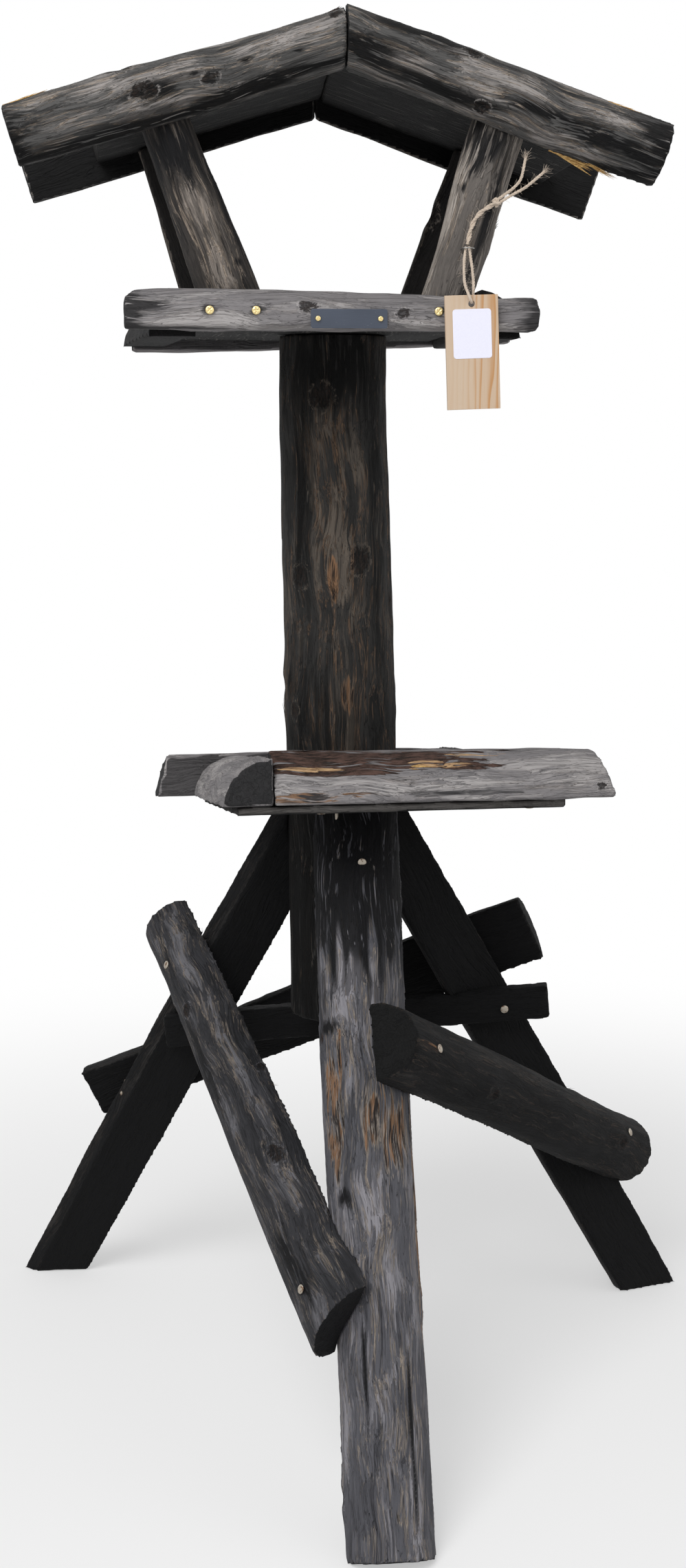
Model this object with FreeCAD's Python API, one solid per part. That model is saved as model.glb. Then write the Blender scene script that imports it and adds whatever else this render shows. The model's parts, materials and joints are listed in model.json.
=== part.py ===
import FreeCAD, Part
import math
import os
from FreeCAD import Vector

# Rustic bird table: half and quarter poles nailed together. Millimetres, Z up, front towards -Y.
# While it is built, X and Y are measured from the post's axis. The last step moves the whole
# table so that the origin is on the ground at the middle of its box.

# Roof
FRONT_PLANE_Y = -136.0        # flat backs of the front roof logs, inner face of the front rail
REAR_PLANE_Y = 135.0          # the same at the rear
RIDGE_X = -10.5               # plumb seam between the two logs of a gable
RIDGE_LOW_Z = 1195.3          # lower edge of the roof logs at the seam
EAVE_LEFT_X = -284.5
EAVE_LEFT_Z = 1114.6
EAVE_RIGHT_X = 255.4
EAVE_RIGHT_Z = 1104.5
ROOF_LOG_BULGE = 26.0
RIDGE_WIDTH = 52.5
EAVE_LEFT_WIDTH = 50.0
EAVE_RIGHT_WIDTH = 58.0
ROOF_BOARD_THICK = 18.0
SOFFIT_RISE = 19.0            # underside of the boards above the logs' lower edge, plumb
LEFT_BOARD_END_X = -222.0
RIGHT_BOARD_END_X = 212.0
RIDGE_SKEW = 7.0              # the boards' seam runs this far off square, each way

# Uprights between the upper tray and the roof
UPRIGHT_THICK = 31.0
UPRIGHT_BACK = 28.0           # flat face to the plane that rails and logs bear on
UPRIGHT_TOP_Z = 1165.0

# Upper tray
UPPER_FLOOR_BOTTOM = 986.0
UPPER_FLOOR_THICK = 9.0
UPPER_FLOOR_TOP = UPPER_FLOOR_BOTTOM + UPPER_FLOOR_THICK
UPPER_RAIL_THICK = 33.0
SIDE_RAIL_THICK = 40.0
UPPER_LEFT_FRONT_X = -138.0
UPPER_LEFT_REAR_X = -160.0
UPPER_RIGHT_X = 105.0
SCREW_Z = 997.5
PLATE_LENGTH = 65.0
PLATE_HEIGHT = 16.0
PLATE_THICK = 1.5
PLATE_CENTRE_X = -10.5
PLATE_CENTRE_Z = 991.0
PLATE_SCREW_SPACING = 53.0

# Post and tripod
POST_BOTTOM = 336.0
POST_BACK_Y = 28.0
POST_DEPTH = 58.0
LEG_THICK = 37.0
BRACE_NAIL_LENGTH = 66.0
BATTEN_THICK = 18.0
BATTEN_HEIGHT = 34.0
LEG_PARTING_X = 2.0           # plumb joint between the two rear legs behind the post

# Braces: name, centre line of the flat face from the high end to the low end, outward side,
# widths and depths along it, how far the high end's cut leans outward, how far the low end's
# cut leans across and outward, and the nails (distance from the high end, depth there)
BRACES = (("left_brace", Vector(-161, 140, 396.6), Vector(-23.7, -319.5, 165),
           Vector(-0.857, -0.412, 0.309), (70, 70, 72, 70), (28, 33, 38, 42),
           0, (0.19, -0.4), ((72, 30), (505, 41.5))),
          ("right_brace", Vector(3.7, -219.8, 371.9), Vector(304.7, 120.5, 145),
           Vector(0.808, -0.480, 0.342), (71, 71, 69, 66), (38, 41, 43, 44),
           0.39, (0, 0), ((54, 38.5), (453, 43.5))),
          ("rear_brace", Vector(200.8, 64, 401.1), Vector(-247, 170, 210),
           Vector(0.17, 0.96, 0.21), (71, 70, 61, 52), (35, 35, 35, 35),
           0, (0, 0), ((78, 35), (458, 35))))

# Lower tray, in its own level frame: origin on the post's axis at the top of its floor
TRAY_HEIGHT = 552.0
TRAY_YAW = 3.0
TRAY_TILT = -7.7
TRAY_FLOOR_THICK = 8.0
TRAY_RAIL_THICK = 46.0
TRAY_FRONT_Y = -124.0
TRAY_REAR_Y = 130.0
TRAY_LEFT_X = -85.0
TRAY_RIGHT_X = 132.0
TRAY_FLOOR_LEFT_X = -117.0
TRAY_FLOOR_RIGHT_X = 178.0
TRAY_FLOOR_HALF_DEPTH = 165.0
NOTCH_GAP = 1.0

# Fasteners
NAIL_SHANK = 3.4
NAIL_HEAD = 8.0
NAIL_HEAD_THICK = 1.6
NAIL_PROUD = 0.8
SCREW_SHANK = 4.0
SCREW_HEAD = 7.4

# Hang tag and its twine
TAG_WIDTH = 45.5
TAG_HEIGHT = 95.0
TAG_THICK = 4.0
TAG_BACK_Y = -172.5
TAG_CENTRE = Vector(94.1, TAG_BACK_Y, 963.4)
TAG_TILT = 2.1                # hangs a little askew, its foot to the right
TAG_HOLE = 5.4
TAG_HOLE_DROP = 7.3
LABEL_WIDTH = 33.0
LABEL_HEIGHT = 41.0
LABEL_DROP = 11.6
LABEL_THICK = 0.3
TWINE = 2.6
TWISTED_TWINE = 4.4
KNOT = 7.0
KNOT_AXIS = Vector(0.84, 0.05, 0.54)
PIVOT = Vector(94.5, -142.6, 1052.0)
STAPLE_WIRE = 1.4
STAPLE_HALF = 5.2
STAPLE_ARCH = 5.0             # how far its crown stands in front of the strands' middle
STAPLE_DEPTH = 11.0

X_AXIS = Vector(1, 0, 0)
Y_AXIS = Vector(0, 1, 0)
Z_AXIS = Vector(0, 0, 1)
ORIGIN = Vector(0, 0, 0)
FAR = 3000.0
HALF_FLATS = 9                # drawknife flats round a half pole
QUARTER_FLATS = 5
HEAD_SIDES = 8
SHANK_SIDES = 4
TUBE_SIDES = 6
SAW_SPARE = 45.0              # poles are made this much too long, then sawn to their joints

nodes = {}


# General helpers
def unit(vector):
    """The vector at length one."""
    return vector * (1.0 / vector.Length)


def beyond(point, normal):
    """A block that fills the space on the normal's side of a plane."""
    block = Part.makeBox(FAR, FAR, FAR, Vector(-FAR / 2, -FAR / 2, 0))
    block.Placement = FreeCAD.Placement(point, FreeCAD.Rotation(Z_AXIS, normal))
    return block


def trim(shape, point, normal):
    """The shape sawn off at a plane, keeping the side behind its normal."""
    return shape.cut(beyond(point, normal))


def prism(point, direction, width, length, sides):
    """A regular prism, as wide as stated across its corners, from the point along the direction."""
    turned = FreeCAD.Rotation(Z_AXIS, direction)
    corners = [point + turned.multVec(Vector(math.cos(angle), math.sin(angle), 0)) * (width / 2)
               for angle in [2 * math.pi * side / sides for side in range(sides)]]
    return Part.Face(Part.makePolygon(corners + corners[:1])).extrude(unit(direction) * length)


def pole(section, start, end, outward, stations, spare=SAW_SPARE):
    """Loft a riven piece along start to end.

    A station is (share of the length, width, depth, sway), so a piece can taper and wander
    as a grown pole does. The section is given in u, across the flat face, and v, outward.
    """
    along = unit(end - start)
    outward = unit(outward - along * outward.dot(along))
    across = outward.cross(along)
    wires = []
    for share, width, depth, sway in stations:
        reach = {0: -spare, 1: spare}.get(share, 0)
        centre = start + (end - start) * share + along * reach + across * sway
        corners = [centre + across * u + outward * v for u, v in section(width, depth)]
        wires.append(Part.makePolygon(corners + corners[:1]))
    return Part.makeLoft(wires, True, False)


# Sections
def half_round(width, depth):
    """Half a pole: the round of the bark side, peeled in flats, closed by the sawn face."""
    radius = (width ** 2 / 4 + depth ** 2) / (2 * depth)
    reach = math.atan2(width / 2, radius - depth)
    angles = [reach * (1 - 2 * flat / HALF_FLATS) for flat in range(HALF_FLATS + 1)]
    return [(radius * math.sin(angle), depth - radius + radius * math.cos(angle))
            for angle in angles]


def waney_half(width, depth):
    """Half a pole whose sawn face runs out in a wane along one edge."""
    return [(0.3 * width, 0)] + half_round(width, depth)[1:]


def quarter_round(height, depth):
    """A quarter pole standing on one sawn face, the other turned inward."""
    angles = [math.pi / 2 * flat / QUARTER_FLATS for flat in range(QUARTER_FLATS + 1)]
    return [(0, 0)] + [(height * math.cos(angle), depth * math.sin(angle)) for angle in angles]


def hewn_rail(height, depth):
    """A half pole hewn into three facets: a top bevel, an upright face, a bottom bevel."""
    return [(0, 0), (height, 0), (height, 0.42 * depth), (0.62 * height, depth),
            (0.1 * height, depth), (0, 0.8 * depth)]


def sawn_strip(height, thick):
    """A plain sawn batten."""
    return [(-height / 2, 0), (height / 2, 0), (height / 2, thick), (-height / 2, thick)]


# Fasteners
def driven(point, direction, length, head, shank):
    """A nail or screw, its head's face at the point, driven along the direction."""
    cap = prism(point, direction, head, NAIL_HEAD_THICK, HEAD_SIDES)
    stem = prism(point, direction, shank, length, SHANK_SIDES)
    return cap.fuse(stem).removeSplitter()


def nail(point, direction, length):
    """A nail whose head stands a little proud of the point on the wood."""
    direction = unit(direction)
    return driven(point - direction * NAIL_PROUD, direction, length, NAIL_HEAD, NAIL_SHANK)


def screw(point, direction, length):
    """A brass screw, head just proud of the wood."""
    direction = unit(direction)
    return driven(point - direction * NAIL_PROUD, direction, length, SCREW_HEAD, SCREW_SHANK)


# Roof
def low_edge_z(x):
    """Height of the roof logs' lower edge at x."""
    if x < RIDGE_X:
        share = (x - EAVE_LEFT_X) / (RIDGE_X - EAVE_LEFT_X)
        return EAVE_LEFT_Z + share * (RIDGE_LOW_Z - EAVE_LEFT_Z)
    share = (x - EAVE_RIGHT_X) / (RIDGE_X - EAVE_RIGHT_X)
    return EAVE_RIGHT_Z + share * (RIDGE_LOW_Z - EAVE_RIGHT_Z)


def roof_log(eave_x, eave_width, plane_y, outward, belly):
    """One sloping log of a gable, its flat face on the plane."""
    eave = Vector(eave_x, plane_y, low_edge_z(eave_x))
    ridge = Vector(RIDGE_X, plane_y, RIDGE_LOW_Z)
    start, end = (eave, ridge) if outward.y * (ridge.x - eave.x) < 0 else (ridge, eave)
    along = unit(end - start)
    rise = outward.cross(along)
    widths = (eave_width, RIDGE_WIDTH) if start == eave else (RIDGE_WIDTH, eave_width)
    middle = (widths[0] + widths[1]) / 2
    stations = ((0, widths[0], ROOF_LOG_BULGE, widths[0] / 2),
                (0.36, middle + belly, ROOF_LOG_BULGE + 1.5, middle / 2),
                (0.7, middle - belly, ROOF_LOG_BULGE - 1.0, middle / 2),
                (1, widths[1], ROOF_LOG_BULGE, widths[1] / 2))
    log = pole(half_round, start, end, outward, stations, spare=30)
    eave_side = -1 if eave_x < RIDGE_X else 1
    log = trim(log, Vector(RIDGE_X, plane_y, RIDGE_LOW_Z), X_AXIS * -eave_side)
    outwards = unit(eave - ridge)
    return trim(log, eave, outwards)


def make_roof_logs():
    """Four half-round logs, a gable at the front and one at the rear."""
    for name, eave_x, eave_width, belly in (("left", EAVE_LEFT_X, EAVE_LEFT_WIDTH, 1.5),
                                            ("right", EAVE_RIGHT_X, EAVE_RIGHT_WIDTH, -1.5)):
        nodes["roof_front_%s_log" % name] = roof_log(eave_x, eave_width, FRONT_PLANE_Y,
                                                     -Y_AXIS, belly)
        nodes["roof_rear_%s_log" % name] = roof_log(eave_x, eave_width, REAR_PLANE_Y,
                                                    Y_AXIS, -belly)


def soffit(x):
    """Point under the roof boards at x, on the front plane."""
    return Vector(x, FRONT_PLANE_Y, low_edge_z(x) + SOFFIT_RISE)


def roof_board(end_x):
    """One sloping board between the gables, mitred to its neighbour along a skew seam."""
    side = -1 if end_x < RIDGE_X else 1
    low = soffit(end_x)
    slope = unit(soffit(RIDGE_X + side) - low)
    top = soffit(RIDGE_X + side) + slope * 30
    up = unit(Vector(slope.z, 0, -slope.x)) * side
    up = up if up.z > 0 else -up
    corners = [low, top, top + up * ROOF_BOARD_THICK, low + up * ROOF_BOARD_THICK, low]
    board = Part.Face(Part.makePolygon(corners)).extrude(Y_AXIS * (REAR_PLANE_Y - FRONT_PLANE_Y))
    seam = Vector(2 * RIDGE_SKEW, REAR_PLANE_Y - FRONT_PLANE_Y, 0)
    return trim(board, Vector(RIDGE_X - 2, 0, 0), seam.cross(Z_AXIS) * -side)


def make_roof_boards():
    """The two boards that shed the rain."""
    nodes["roof_left_board"] = roof_board(LEFT_BOARD_END_X)
    nodes["roof_right_board"] = roof_board(RIGHT_BOARD_END_X)


def upright(foot_x, foot_width, top_x, top_width, side, neighbours):
    """A leaning half pole from the tray's floor to the roof board, scribed to its neighbours."""
    plane_y = FRONT_PLANE_Y if side < 0 else REAR_PLANE_Y
    flat_y = plane_y - side * UPRIGHT_BACK
    foot = Vector(foot_x, flat_y, UPPER_FLOOR_TOP)
    top = Vector(top_x, flat_y, UPRIGHT_TOP_Z)
    stations = ((0, foot_width, UPRIGHT_THICK, 0),
                (0.3, foot_width - 3, UPRIGHT_THICK, -1.5),
                (0.65, top_width + 2, UPRIGHT_THICK - 1, 1.5),
                (1, top_width, UPRIGHT_THICK, 0))
    piece = pole(half_round, foot, top, Y_AXIS * side, stations)
    piece = trim(piece, foot, -Z_AXIS)
    under_board = soffit(top_x)
    slope = unit(soffit(top_x + 10) - under_board)
    piece = trim(piece, under_board, Vector(-slope.z, 0, slope.x))
    for neighbour in neighbours:
        piece = piece.cut(nodes[neighbour])
    return piece


def make_uprights():
    """Four uprights, splayed outward."""
    places = {"front_left": (-104.7, 54, -162.6, 42.5, -1),
              "front_right": (72.3, 45.5, 130.7, 43.5, -1),
              "rear_left": (-106, 50, -164, 43, 1),
              "rear_right": (83.5, 45, 143, 43, 1)}
    for name, place in places.items():
        end, side = name.split("_")
        neighbours = ("upper_%s_rail" % end, "upper_%s_rail" % side, "roof_%s_log" % name)
        nodes[name + "_upright"] = upright(*place, neighbours)


# Upper tray
def make_upper_tray():
    """A board on the post's top with a rim of hewn poles nailed round its edges."""
    corners = [Vector(UPPER_LEFT_FRONT_X, FRONT_PLANE_Y, UPPER_FLOOR_BOTTOM),
               Vector(UPPER_RIGHT_X, FRONT_PLANE_Y, UPPER_FLOOR_BOTTOM),
               Vector(UPPER_RIGHT_X, REAR_PLANE_Y, UPPER_FLOOR_BOTTOM),
               Vector(UPPER_LEFT_REAR_X, REAR_PLANE_Y, UPPER_FLOOR_BOTTOM)]
    outline = Part.Face(Part.makePolygon(corners + corners[:1]))
    nodes["upper_floor_board"] = outline.extrude(Z_AXIS * UPPER_FLOOR_THICK)
    front = pole(hewn_rail, Vector(-200, FRONT_PLANE_Y, 982), Vector(155, FRONT_PLANE_Y, 981),
                 -Y_AXIS, ((0, 33, UPPER_RAIL_THICK, 0), (0.35, 35, UPPER_RAIL_THICK, 0),
                           (0.7, 31, UPPER_RAIL_THICK, 0.5), (1, 29, UPPER_RAIL_THICK, 0)), spare=0)
    front = trim(front, Vector(-196, FRONT_PLANE_Y, 1008), Vector(-0.8, 0.1, 0.6))
    nodes["upper_front_rail"] = trim(front, Vector(153, FRONT_PLANE_Y, 990), Vector(1, 0, -0.12))
    nodes["upper_rear_rail"] = pole(
        hewn_rail, Vector(185, REAR_PLANE_Y, 985), Vector(-192, REAR_PLANE_Y, 975), Y_AXIS,
        ((0, 29, UPPER_RAIL_THICK, 0), (0.4, 33, UPPER_RAIL_THICK, -2),
         (0.75, 37, UPPER_RAIL_THICK, -1), (1, 40, UPPER_RAIL_THICK, 0)), spare=0)
    left = pole(quarter_round, Vector(UPPER_LEFT_REAR_X, REAR_PLANE_Y, 980),
                Vector(UPPER_LEFT_FRONT_X, FRONT_PLANE_Y, 977), -X_AXIS,
                ((0, 38, SIDE_RAIL_THICK, 0), (0.5, 36, SIDE_RAIL_THICK + 2, 0),
                 (1, 39, SIDE_RAIL_THICK, 0)))
    right = pole(quarter_round, Vector(UPPER_RIGHT_X, FRONT_PLANE_Y, 976),
                 Vector(UPPER_RIGHT_X, REAR_PLANE_Y, 979), X_AXIS,
                 ((0, 45, SIDE_RAIL_THICK, 0), (0.55, 41, SIDE_RAIL_THICK - 2, 0),
                  (1, 43, SIDE_RAIL_THICK, 0)))
    for name, rail in (("left", left), ("right", right)):
        rail = trim(rail, Vector(0, FRONT_PLANE_Y, 0), -Y_AXIS)
        nodes["upper_%s_rail" % name] = trim(rail, Vector(0, REAR_PLANE_Y, 0), Y_AXIS)


# Post and tripod
def make_post():
    """The half pole that carries everything above the legs."""
    post = pole(half_round, Vector(4, POST_BACK_Y, POST_BOTTOM),
                Vector(-3.5, POST_BACK_Y, UPPER_FLOOR_BOTTOM), -Y_AXIS,
                ((0, 106, POST_DEPTH, 0), (0.25, 105, POST_DEPTH, -1.5),
                 (0.5, 107, POST_DEPTH, -1), (0.75, 105, POST_DEPTH - 2, 1.5),
                 (1, 102, POST_DEPTH - 2, 0)))
    post = trim(post, Vector(0, 0, POST_BOTTOM), -Z_AXIS)
    nodes["post"] = trim(post, Vector(0, 0, UPPER_FLOOR_BOTTOM), Z_AXIS)


def tray_place():
    """Where the lower tray's own level frame sits: turned a little and lower at the back."""
    turn = FreeCAD.Rotation(Z_AXIS, TRAY_YAW).multiply(FreeCAD.Rotation(X_AXIS, TRAY_TILT))
    return FreeCAD.Placement(Vector(0, 0, TRAY_HEIGHT), turn)


def make_legs():
    """Three half poles, seated on the post, sawn level under the tray and at the ground."""
    place = tray_place()
    under_tray = place.multVec(Vector(0, 0, -TRAY_FLOOR_THICK))
    tray_up = place.Rotation.multVec(Z_AXIS)
    legs = {"front_leg": pole(half_round, Vector(12, -8, 552), Vector(-2, -409, 0),
                              Vector(0, -0.809, 0.588),
                              ((0, 82, LEG_THICK, 3), (0.33, 81, LEG_THICK + 1, -2.5),
                               (0.67, 77, LEG_THICK + 1, -1.5), (1, 75, LEG_THICK, 0))),
            "left_leg": pole(waney_half, Vector(-19, 12, 548), Vector(-289, 205, 0),
                             Vector(0, 0.953, 0.302),
                             ((0, 66, LEG_THICK, 0), (0.35, 66, LEG_THICK, 3),
                              (0.7, 66, LEG_THICK - 1, 2), (1, 60, LEG_THICK, 0))),
            "right_leg": pole(half_round, Vector(26, 20, 552), Vector(337, 94, 0),
                              Vector(-0.30, 0.952, -0.06),
                              ((0, 62, LEG_THICK, 0), (0.35, 59, LEG_THICK, -2),
                               (0.7, 62, LEG_THICK + 1, -2), (1, 56, LEG_THICK, -3)))}
    legs["front_leg"] = trim(legs["front_leg"], Vector(6, -418, 0), Vector(0, -0.448, -0.911))
    for name, leg in legs.items():
        leg = trim(leg, ORIGIN, -Z_AXIS)
        leg = trim(leg, under_tray, tray_up)
        nodes[name] = leg.cut(nodes["post"])
    parting = Vector(LEG_PARTING_X, 0, 0)
    nodes["left_leg"] = trim(nodes["left_leg"], parting, X_AXIS)
    nodes["right_leg"] = trim(nodes["right_leg"], parting, -X_AXIS)


def make_braces():
    """Three half poles that tie the legs, notched where they cross them and nailed there."""
    legs = ("front_leg", "left_leg", "right_leg")
    nails = []
    for name, start, end, outward, widths, depths, high_end, low_end, nailed in BRACES:
        stations = list(zip((0, 0.33, 0.67, 1), widths, depths, (0, 2, -1.5, 0)))
        brace = pole(half_round, start, end, outward, stations)
        along = unit(end - start)
        across = outward.cross(along)
        brace = trim(brace, start, outward * high_end - along)
        brace = trim(brace, end, along + across * low_end[0] + outward * low_end[1])
        for leg in legs:
            brace = brace.cut(nodes[leg])
        nodes[name] = brace
        nails += [nail(start + along * distance + outward * depth, -outward, BRACE_NAIL_LENGTH)
                  for distance, depth in nailed]
    nodes["brace_nails"] = Part.makeCompound(nails)


def make_batten():
    """The sawn strip across the two rear legs, notched over their faces."""
    batten = pole(sawn_strip, Vector(-168, 103, 299), Vector(214, 40, 337), -Y_AXIS,
                  ((0, BATTEN_HEIGHT, BATTEN_THICK, 0), (1, BATTEN_HEIGHT, BATTEN_THICK, 0)),
                  spare=0)
    nodes["cross_batten"] = batten.cut(nodes["left_leg"]).cut(nodes["right_leg"])


# Lower tray
def tray_rail(start, end, outward, heights, slants=(0, 0)):
    """A quarter-round rail on the tray's floor, its ends sawn across at the given slants."""
    stations = [(share, height, TRAY_RAIL_THICK, 0)
                for share, height in zip((0, 0.35, 0.7, 1), heights)]
    rail = pole(quarter_round, start, end, outward, stations, spare=15)
    along = unit(end - start)
    rail = trim(rail, start, -along + Z_AXIS * slants[0])
    return trim(rail, end, along + Z_AXIS * slants[1])


def make_lower_tray():
    """Two notched boards and four rails laid like a pinwheel, in the tray's level frame."""
    place = tray_place()
    front_y = TRAY_FRONT_Y - TRAY_RAIL_THICK
    rails = {"front": tray_rail(Vector(TRAY_LEFT_X, TRAY_FRONT_Y, 0), Vector(225, TRAY_FRONT_Y, 0),
                                -Y_AXIS, (50, 47, 46, 43), (0, 0.28)),
             "left": tray_rail(Vector(TRAY_LEFT_X, TRAY_REAR_Y, 0), Vector(TRAY_LEFT_X, front_y, 0),
                               -X_AXIS, (41, 42, 43, 42)),
             "rear": tray_rail(Vector(TRAY_RIGHT_X, TRAY_REAR_Y, 0), Vector(-168, TRAY_REAR_Y, 0),
                               Y_AXIS, (43, 45, 44, 44), (0, 0.27)),
             "right": tray_rail(Vector(TRAY_RIGHT_X, TRAY_FRONT_Y, 0), Vector(TRAY_RIGHT_X, 186, 0),
                                X_AXIS, (43, 42, 44, 43))}
    for name, rail in rails.items():
        rail.Placement = place
        nodes["lower_%s_rail" % name] = rail
    clearance = nodes["post"].copy()
    clearance.scale(1 + NOTCH_GAP / 50, Vector(-3, 0, TRAY_HEIGHT))
    for name, edge_y in (("front", -TRAY_FLOOR_HALF_DEPTH), ("rear", 0)):
        board = Part.makeBox(TRAY_FLOOR_RIGHT_X - TRAY_FLOOR_LEFT_X, TRAY_FLOOR_HALF_DEPTH,
                             TRAY_FLOOR_THICK,
                             Vector(TRAY_FLOOR_LEFT_X, edge_y, -TRAY_FLOOR_THICK))
        board.Placement = place
        nodes["lower_floor_%s_board" % name] = board.cut(clearance)


# Fasteners
def make_nails():
    """Nail groups of the stand, the trays and the roof."""
    back = -Y_AXIS
    nodes["leg_nails"] = Part.makeCompound([
        nail(Vector(10.5, -87.3, 506), Y_AXIS, 80),
        nail(Vector(-24, 58, 530), back, 58),
        nail(Vector(28, 60, 530), back, 58)])
    nodes["batten_nails"] = Part.makeCompound([
        nail(Vector(-142, 80.5, 302), Y_AXIS, 45),
        nail(Vector(167.5, 29.5, 329), Y_AXIS, 45)])
    place = tray_place()
    down = place.Rotation.multVec(-Z_AXIS)
    nodes["lower_floor_nails"] = Part.makeCompound(
        [nail(place.multVec(Vector(x, y, 0)), down, 42) for x, y in ((-12, -50), (-37, 42), (41, 44))])
    rail_nails = ((-40, -142), (150, -142), (-103, 40), (-103, -90), (-100, 148), (70, 148),
                  (150, -80), (150, 90))
    nodes["lower_rail_nails"] = Part.makeCompound(
        [nail(place.multVec(Vector(x, y, -TRAY_FLOOR_THICK)), -down, 30) for x, y in rail_nails])
    nodes["upper_floor_nails"] = Part.makeCompound(
        [nail(Vector(x, 0, UPPER_FLOOR_TOP), -Z_AXIS, 50) for x in (-30, 10)])


def make_screws():
    """Brass screws: two through the front and rear rails into each upright, two in the plate."""
    front_y = FRONT_PLANE_Y - UPPER_RAIL_THICK
    rear_y = REAR_PLANE_Y + UPPER_RAIL_THICK
    rail_screws = [screw(Vector(x, front_y, SCREW_Z), Y_AXIS, 48) for x in (-128, -89, 66, 102)]
    rail_screws += [screw(Vector(x, rear_y, SCREW_Z), -Y_AXIS, 48) for x in (-122, -92, 74, 98)]
    nodes["upper_rail_screws"] = Part.makeCompound(rail_screws)
    plate_y = front_y - PLATE_THICK
    spots = [PLATE_CENTRE_X + side * PLATE_SCREW_SPACING / 2 for side in (-1, 1)]
    nodes["plate_screws"] = Part.makeCompound(
        [driven(Vector(x, plate_y - NAIL_HEAD_THICK, PLATE_CENTRE_Z), Y_AXIS, 14, 4.6, 2.2)
         for x in spots])
    plate = Part.makeBox(PLATE_LENGTH, PLATE_THICK, PLATE_HEIGHT,
                         Vector(PLATE_CENTRE_X - PLATE_LENGTH / 2, plate_y,
                                PLATE_CENTRE_Z - PLATE_HEIGHT / 2))
    upright_edges = [edge for edge in plate.Edges
                     if abs(edge.tangentAt(edge.FirstParameter).y) > 0.9]
    nodes["name_plate"] = plate.makeFillet(2.0, upright_edges)


# Tag and twine
def tube(points, diameter, title):
    """A tube along straight runs joined by tangent arcs as large as the runs allow."""
    edges = []
    radii = []
    cursor = points[0]
    for before, corner, after in zip(points, points[1:], points[2:]):
        arriving = unit(corner - before)
        leaving = unit(after - corner)
        half_turn = arriving.getAngle(leaving) / 2
        setback = 0.45 * min((corner - before).Length, (after - corner).Length)
        radius = setback / math.tan(half_turn)
        radii.append(radius)
        tangent_in = corner - arriving * setback
        tangent_out = corner + leaving * setback
        inward = unit(leaving - arriving)
        middle = corner + inward * (radius / math.cos(half_turn) - radius)
        edges.append(Part.makeLine(cursor, tangent_in))
        edges.append(Part.Arc(tangent_in, middle, tangent_out).toShape())
        cursor = tangent_out
    edges.append(Part.makeLine(cursor, points[-1]))
    spine = Part.Wire(edges)
    around = FreeCAD.Rotation(Z_AXIS, points[1] - points[0])
    corners = [points[0] + around.multVec(Vector(math.cos(angle), math.sin(angle), 0))
               * (diameter / 2)
               for angle in [2 * math.pi * side / TUBE_SIDES for side in range(TUBE_SIDES)]]
    section = Part.makePolygon(corners + corners[:1])
    solid = spine.makePipeShell([section], True, True)
    expected = spine.Length * Part.Face(section).Area
    print("%s: length %.1f, volume %.1f for %.1f, radii %s"
          % (title, spine.Length, solid.Volume, expected,
             " ".join("%.1f" % radius for radius in radii)))
    return solid


def make_tag():
    """A thin pine tag with a blank label, hung by a twine loop through its hole."""
    low = Vector(TAG_CENTRE.x - TAG_WIDTH / 2, TAG_BACK_Y - TAG_THICK, TAG_CENTRE.z - TAG_HEIGHT / 2)
    tag = Part.makeBox(TAG_WIDTH, TAG_THICK, TAG_HEIGHT, low)
    hole_z = TAG_CENTRE.z + TAG_HEIGHT / 2 - TAG_HOLE_DROP
    hole = Part.makeCylinder(TAG_HOLE / 2, 3 * TAG_THICK,
                             Vector(TAG_CENTRE.x, TAG_BACK_Y - 2 * TAG_THICK, hole_z), Y_AXIS)
    label_low = Vector(TAG_CENTRE.x - LABEL_WIDTH / 2, low.y - LABEL_THICK,
                       TAG_CENTRE.z + TAG_HEIGHT / 2 - LABEL_DROP - LABEL_HEIGHT)
    label = Part.makeBox(LABEL_WIDTH, LABEL_THICK, LABEL_HEIGHT, label_low)
    for name, shape in (("hang_tag", tag.cut(hole)), ("tag_label", label)):
        shape.rotate(TAG_CENTRE, Y_AXIS, -TAG_TILT)
        nodes[name] = shape


def make_twine():
    """Twine: a loop that the tag swings on, a twisted stretch, a knot and two free ends."""
    nodes["twine_loop"] = tube([Vector(93.0, -142.6, 1053.0), Vector(90.9, -146.8, 1045.5),
                                Vector(88.4, -160.5, 1031.0), Vector(87.6, -170.5, 1019.5),
                                Vector(89.2, -178.8, 1012.4), Vector(92.2, -179.8, 1004.7),
                                Vector(93.6, -169.4, 1004.7), Vector(95.6, -168.7, 1013.0),
                                Vector(96.2, -163.5, 1024.0),
                                Vector(96.4, -154.0, 1036.5), Vector(96.0, -147.0, 1046.0),
                                Vector(95.8, -142.6, 1053.0)], TWINE, "twine_loop")
    knot = Vector(119.8, -138.5, 1090.6)
    tail_end = knot - KNOT_AXIS * (KNOT / 4)
    beside = KNOT_AXIS.cross(Y_AXIS) * (0.54 * TWINE)
    nodes["twine_tail"] = tube([Vector(94.3, -142.4, 1055.1), Vector(96.0, -141.4, 1065.0),
                                Vector(100.3, -140.1, 1076.0), Vector(107.5, -139.9, 1084.3),
                                tail_end], TWISTED_TWINE, "twine_tail")
    nodes["twine_knot"] = prism(knot + KNOT_AXIS * (KNOT / -2), KNOT_AXIS, KNOT, KNOT, TUBE_SIDES)
    nodes["twine_end_a"] = tube([knot + beside, Vector(125.7, -139.0, 1096.7),
                                 Vector(133.2, -140.0, 1101.9), Vector(140.2, -141.0, 1108.8),
                                 Vector(142.0, -142.0, 1118.0), Vector(144.1, -142.0, 1128.8)],
                                TWINE, "twine_end_a")
    nodes["twine_end_b"] = tube([knot - beside, Vector(131.7, -139.0, 1096.6),
                                 Vector(142.5, -141.0, 1101.9), Vector(151.3, -144.0, 1108.7),
                                 Vector(160.0, -146.0, 1116.3)], TWINE, "twine_end_b")


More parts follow.
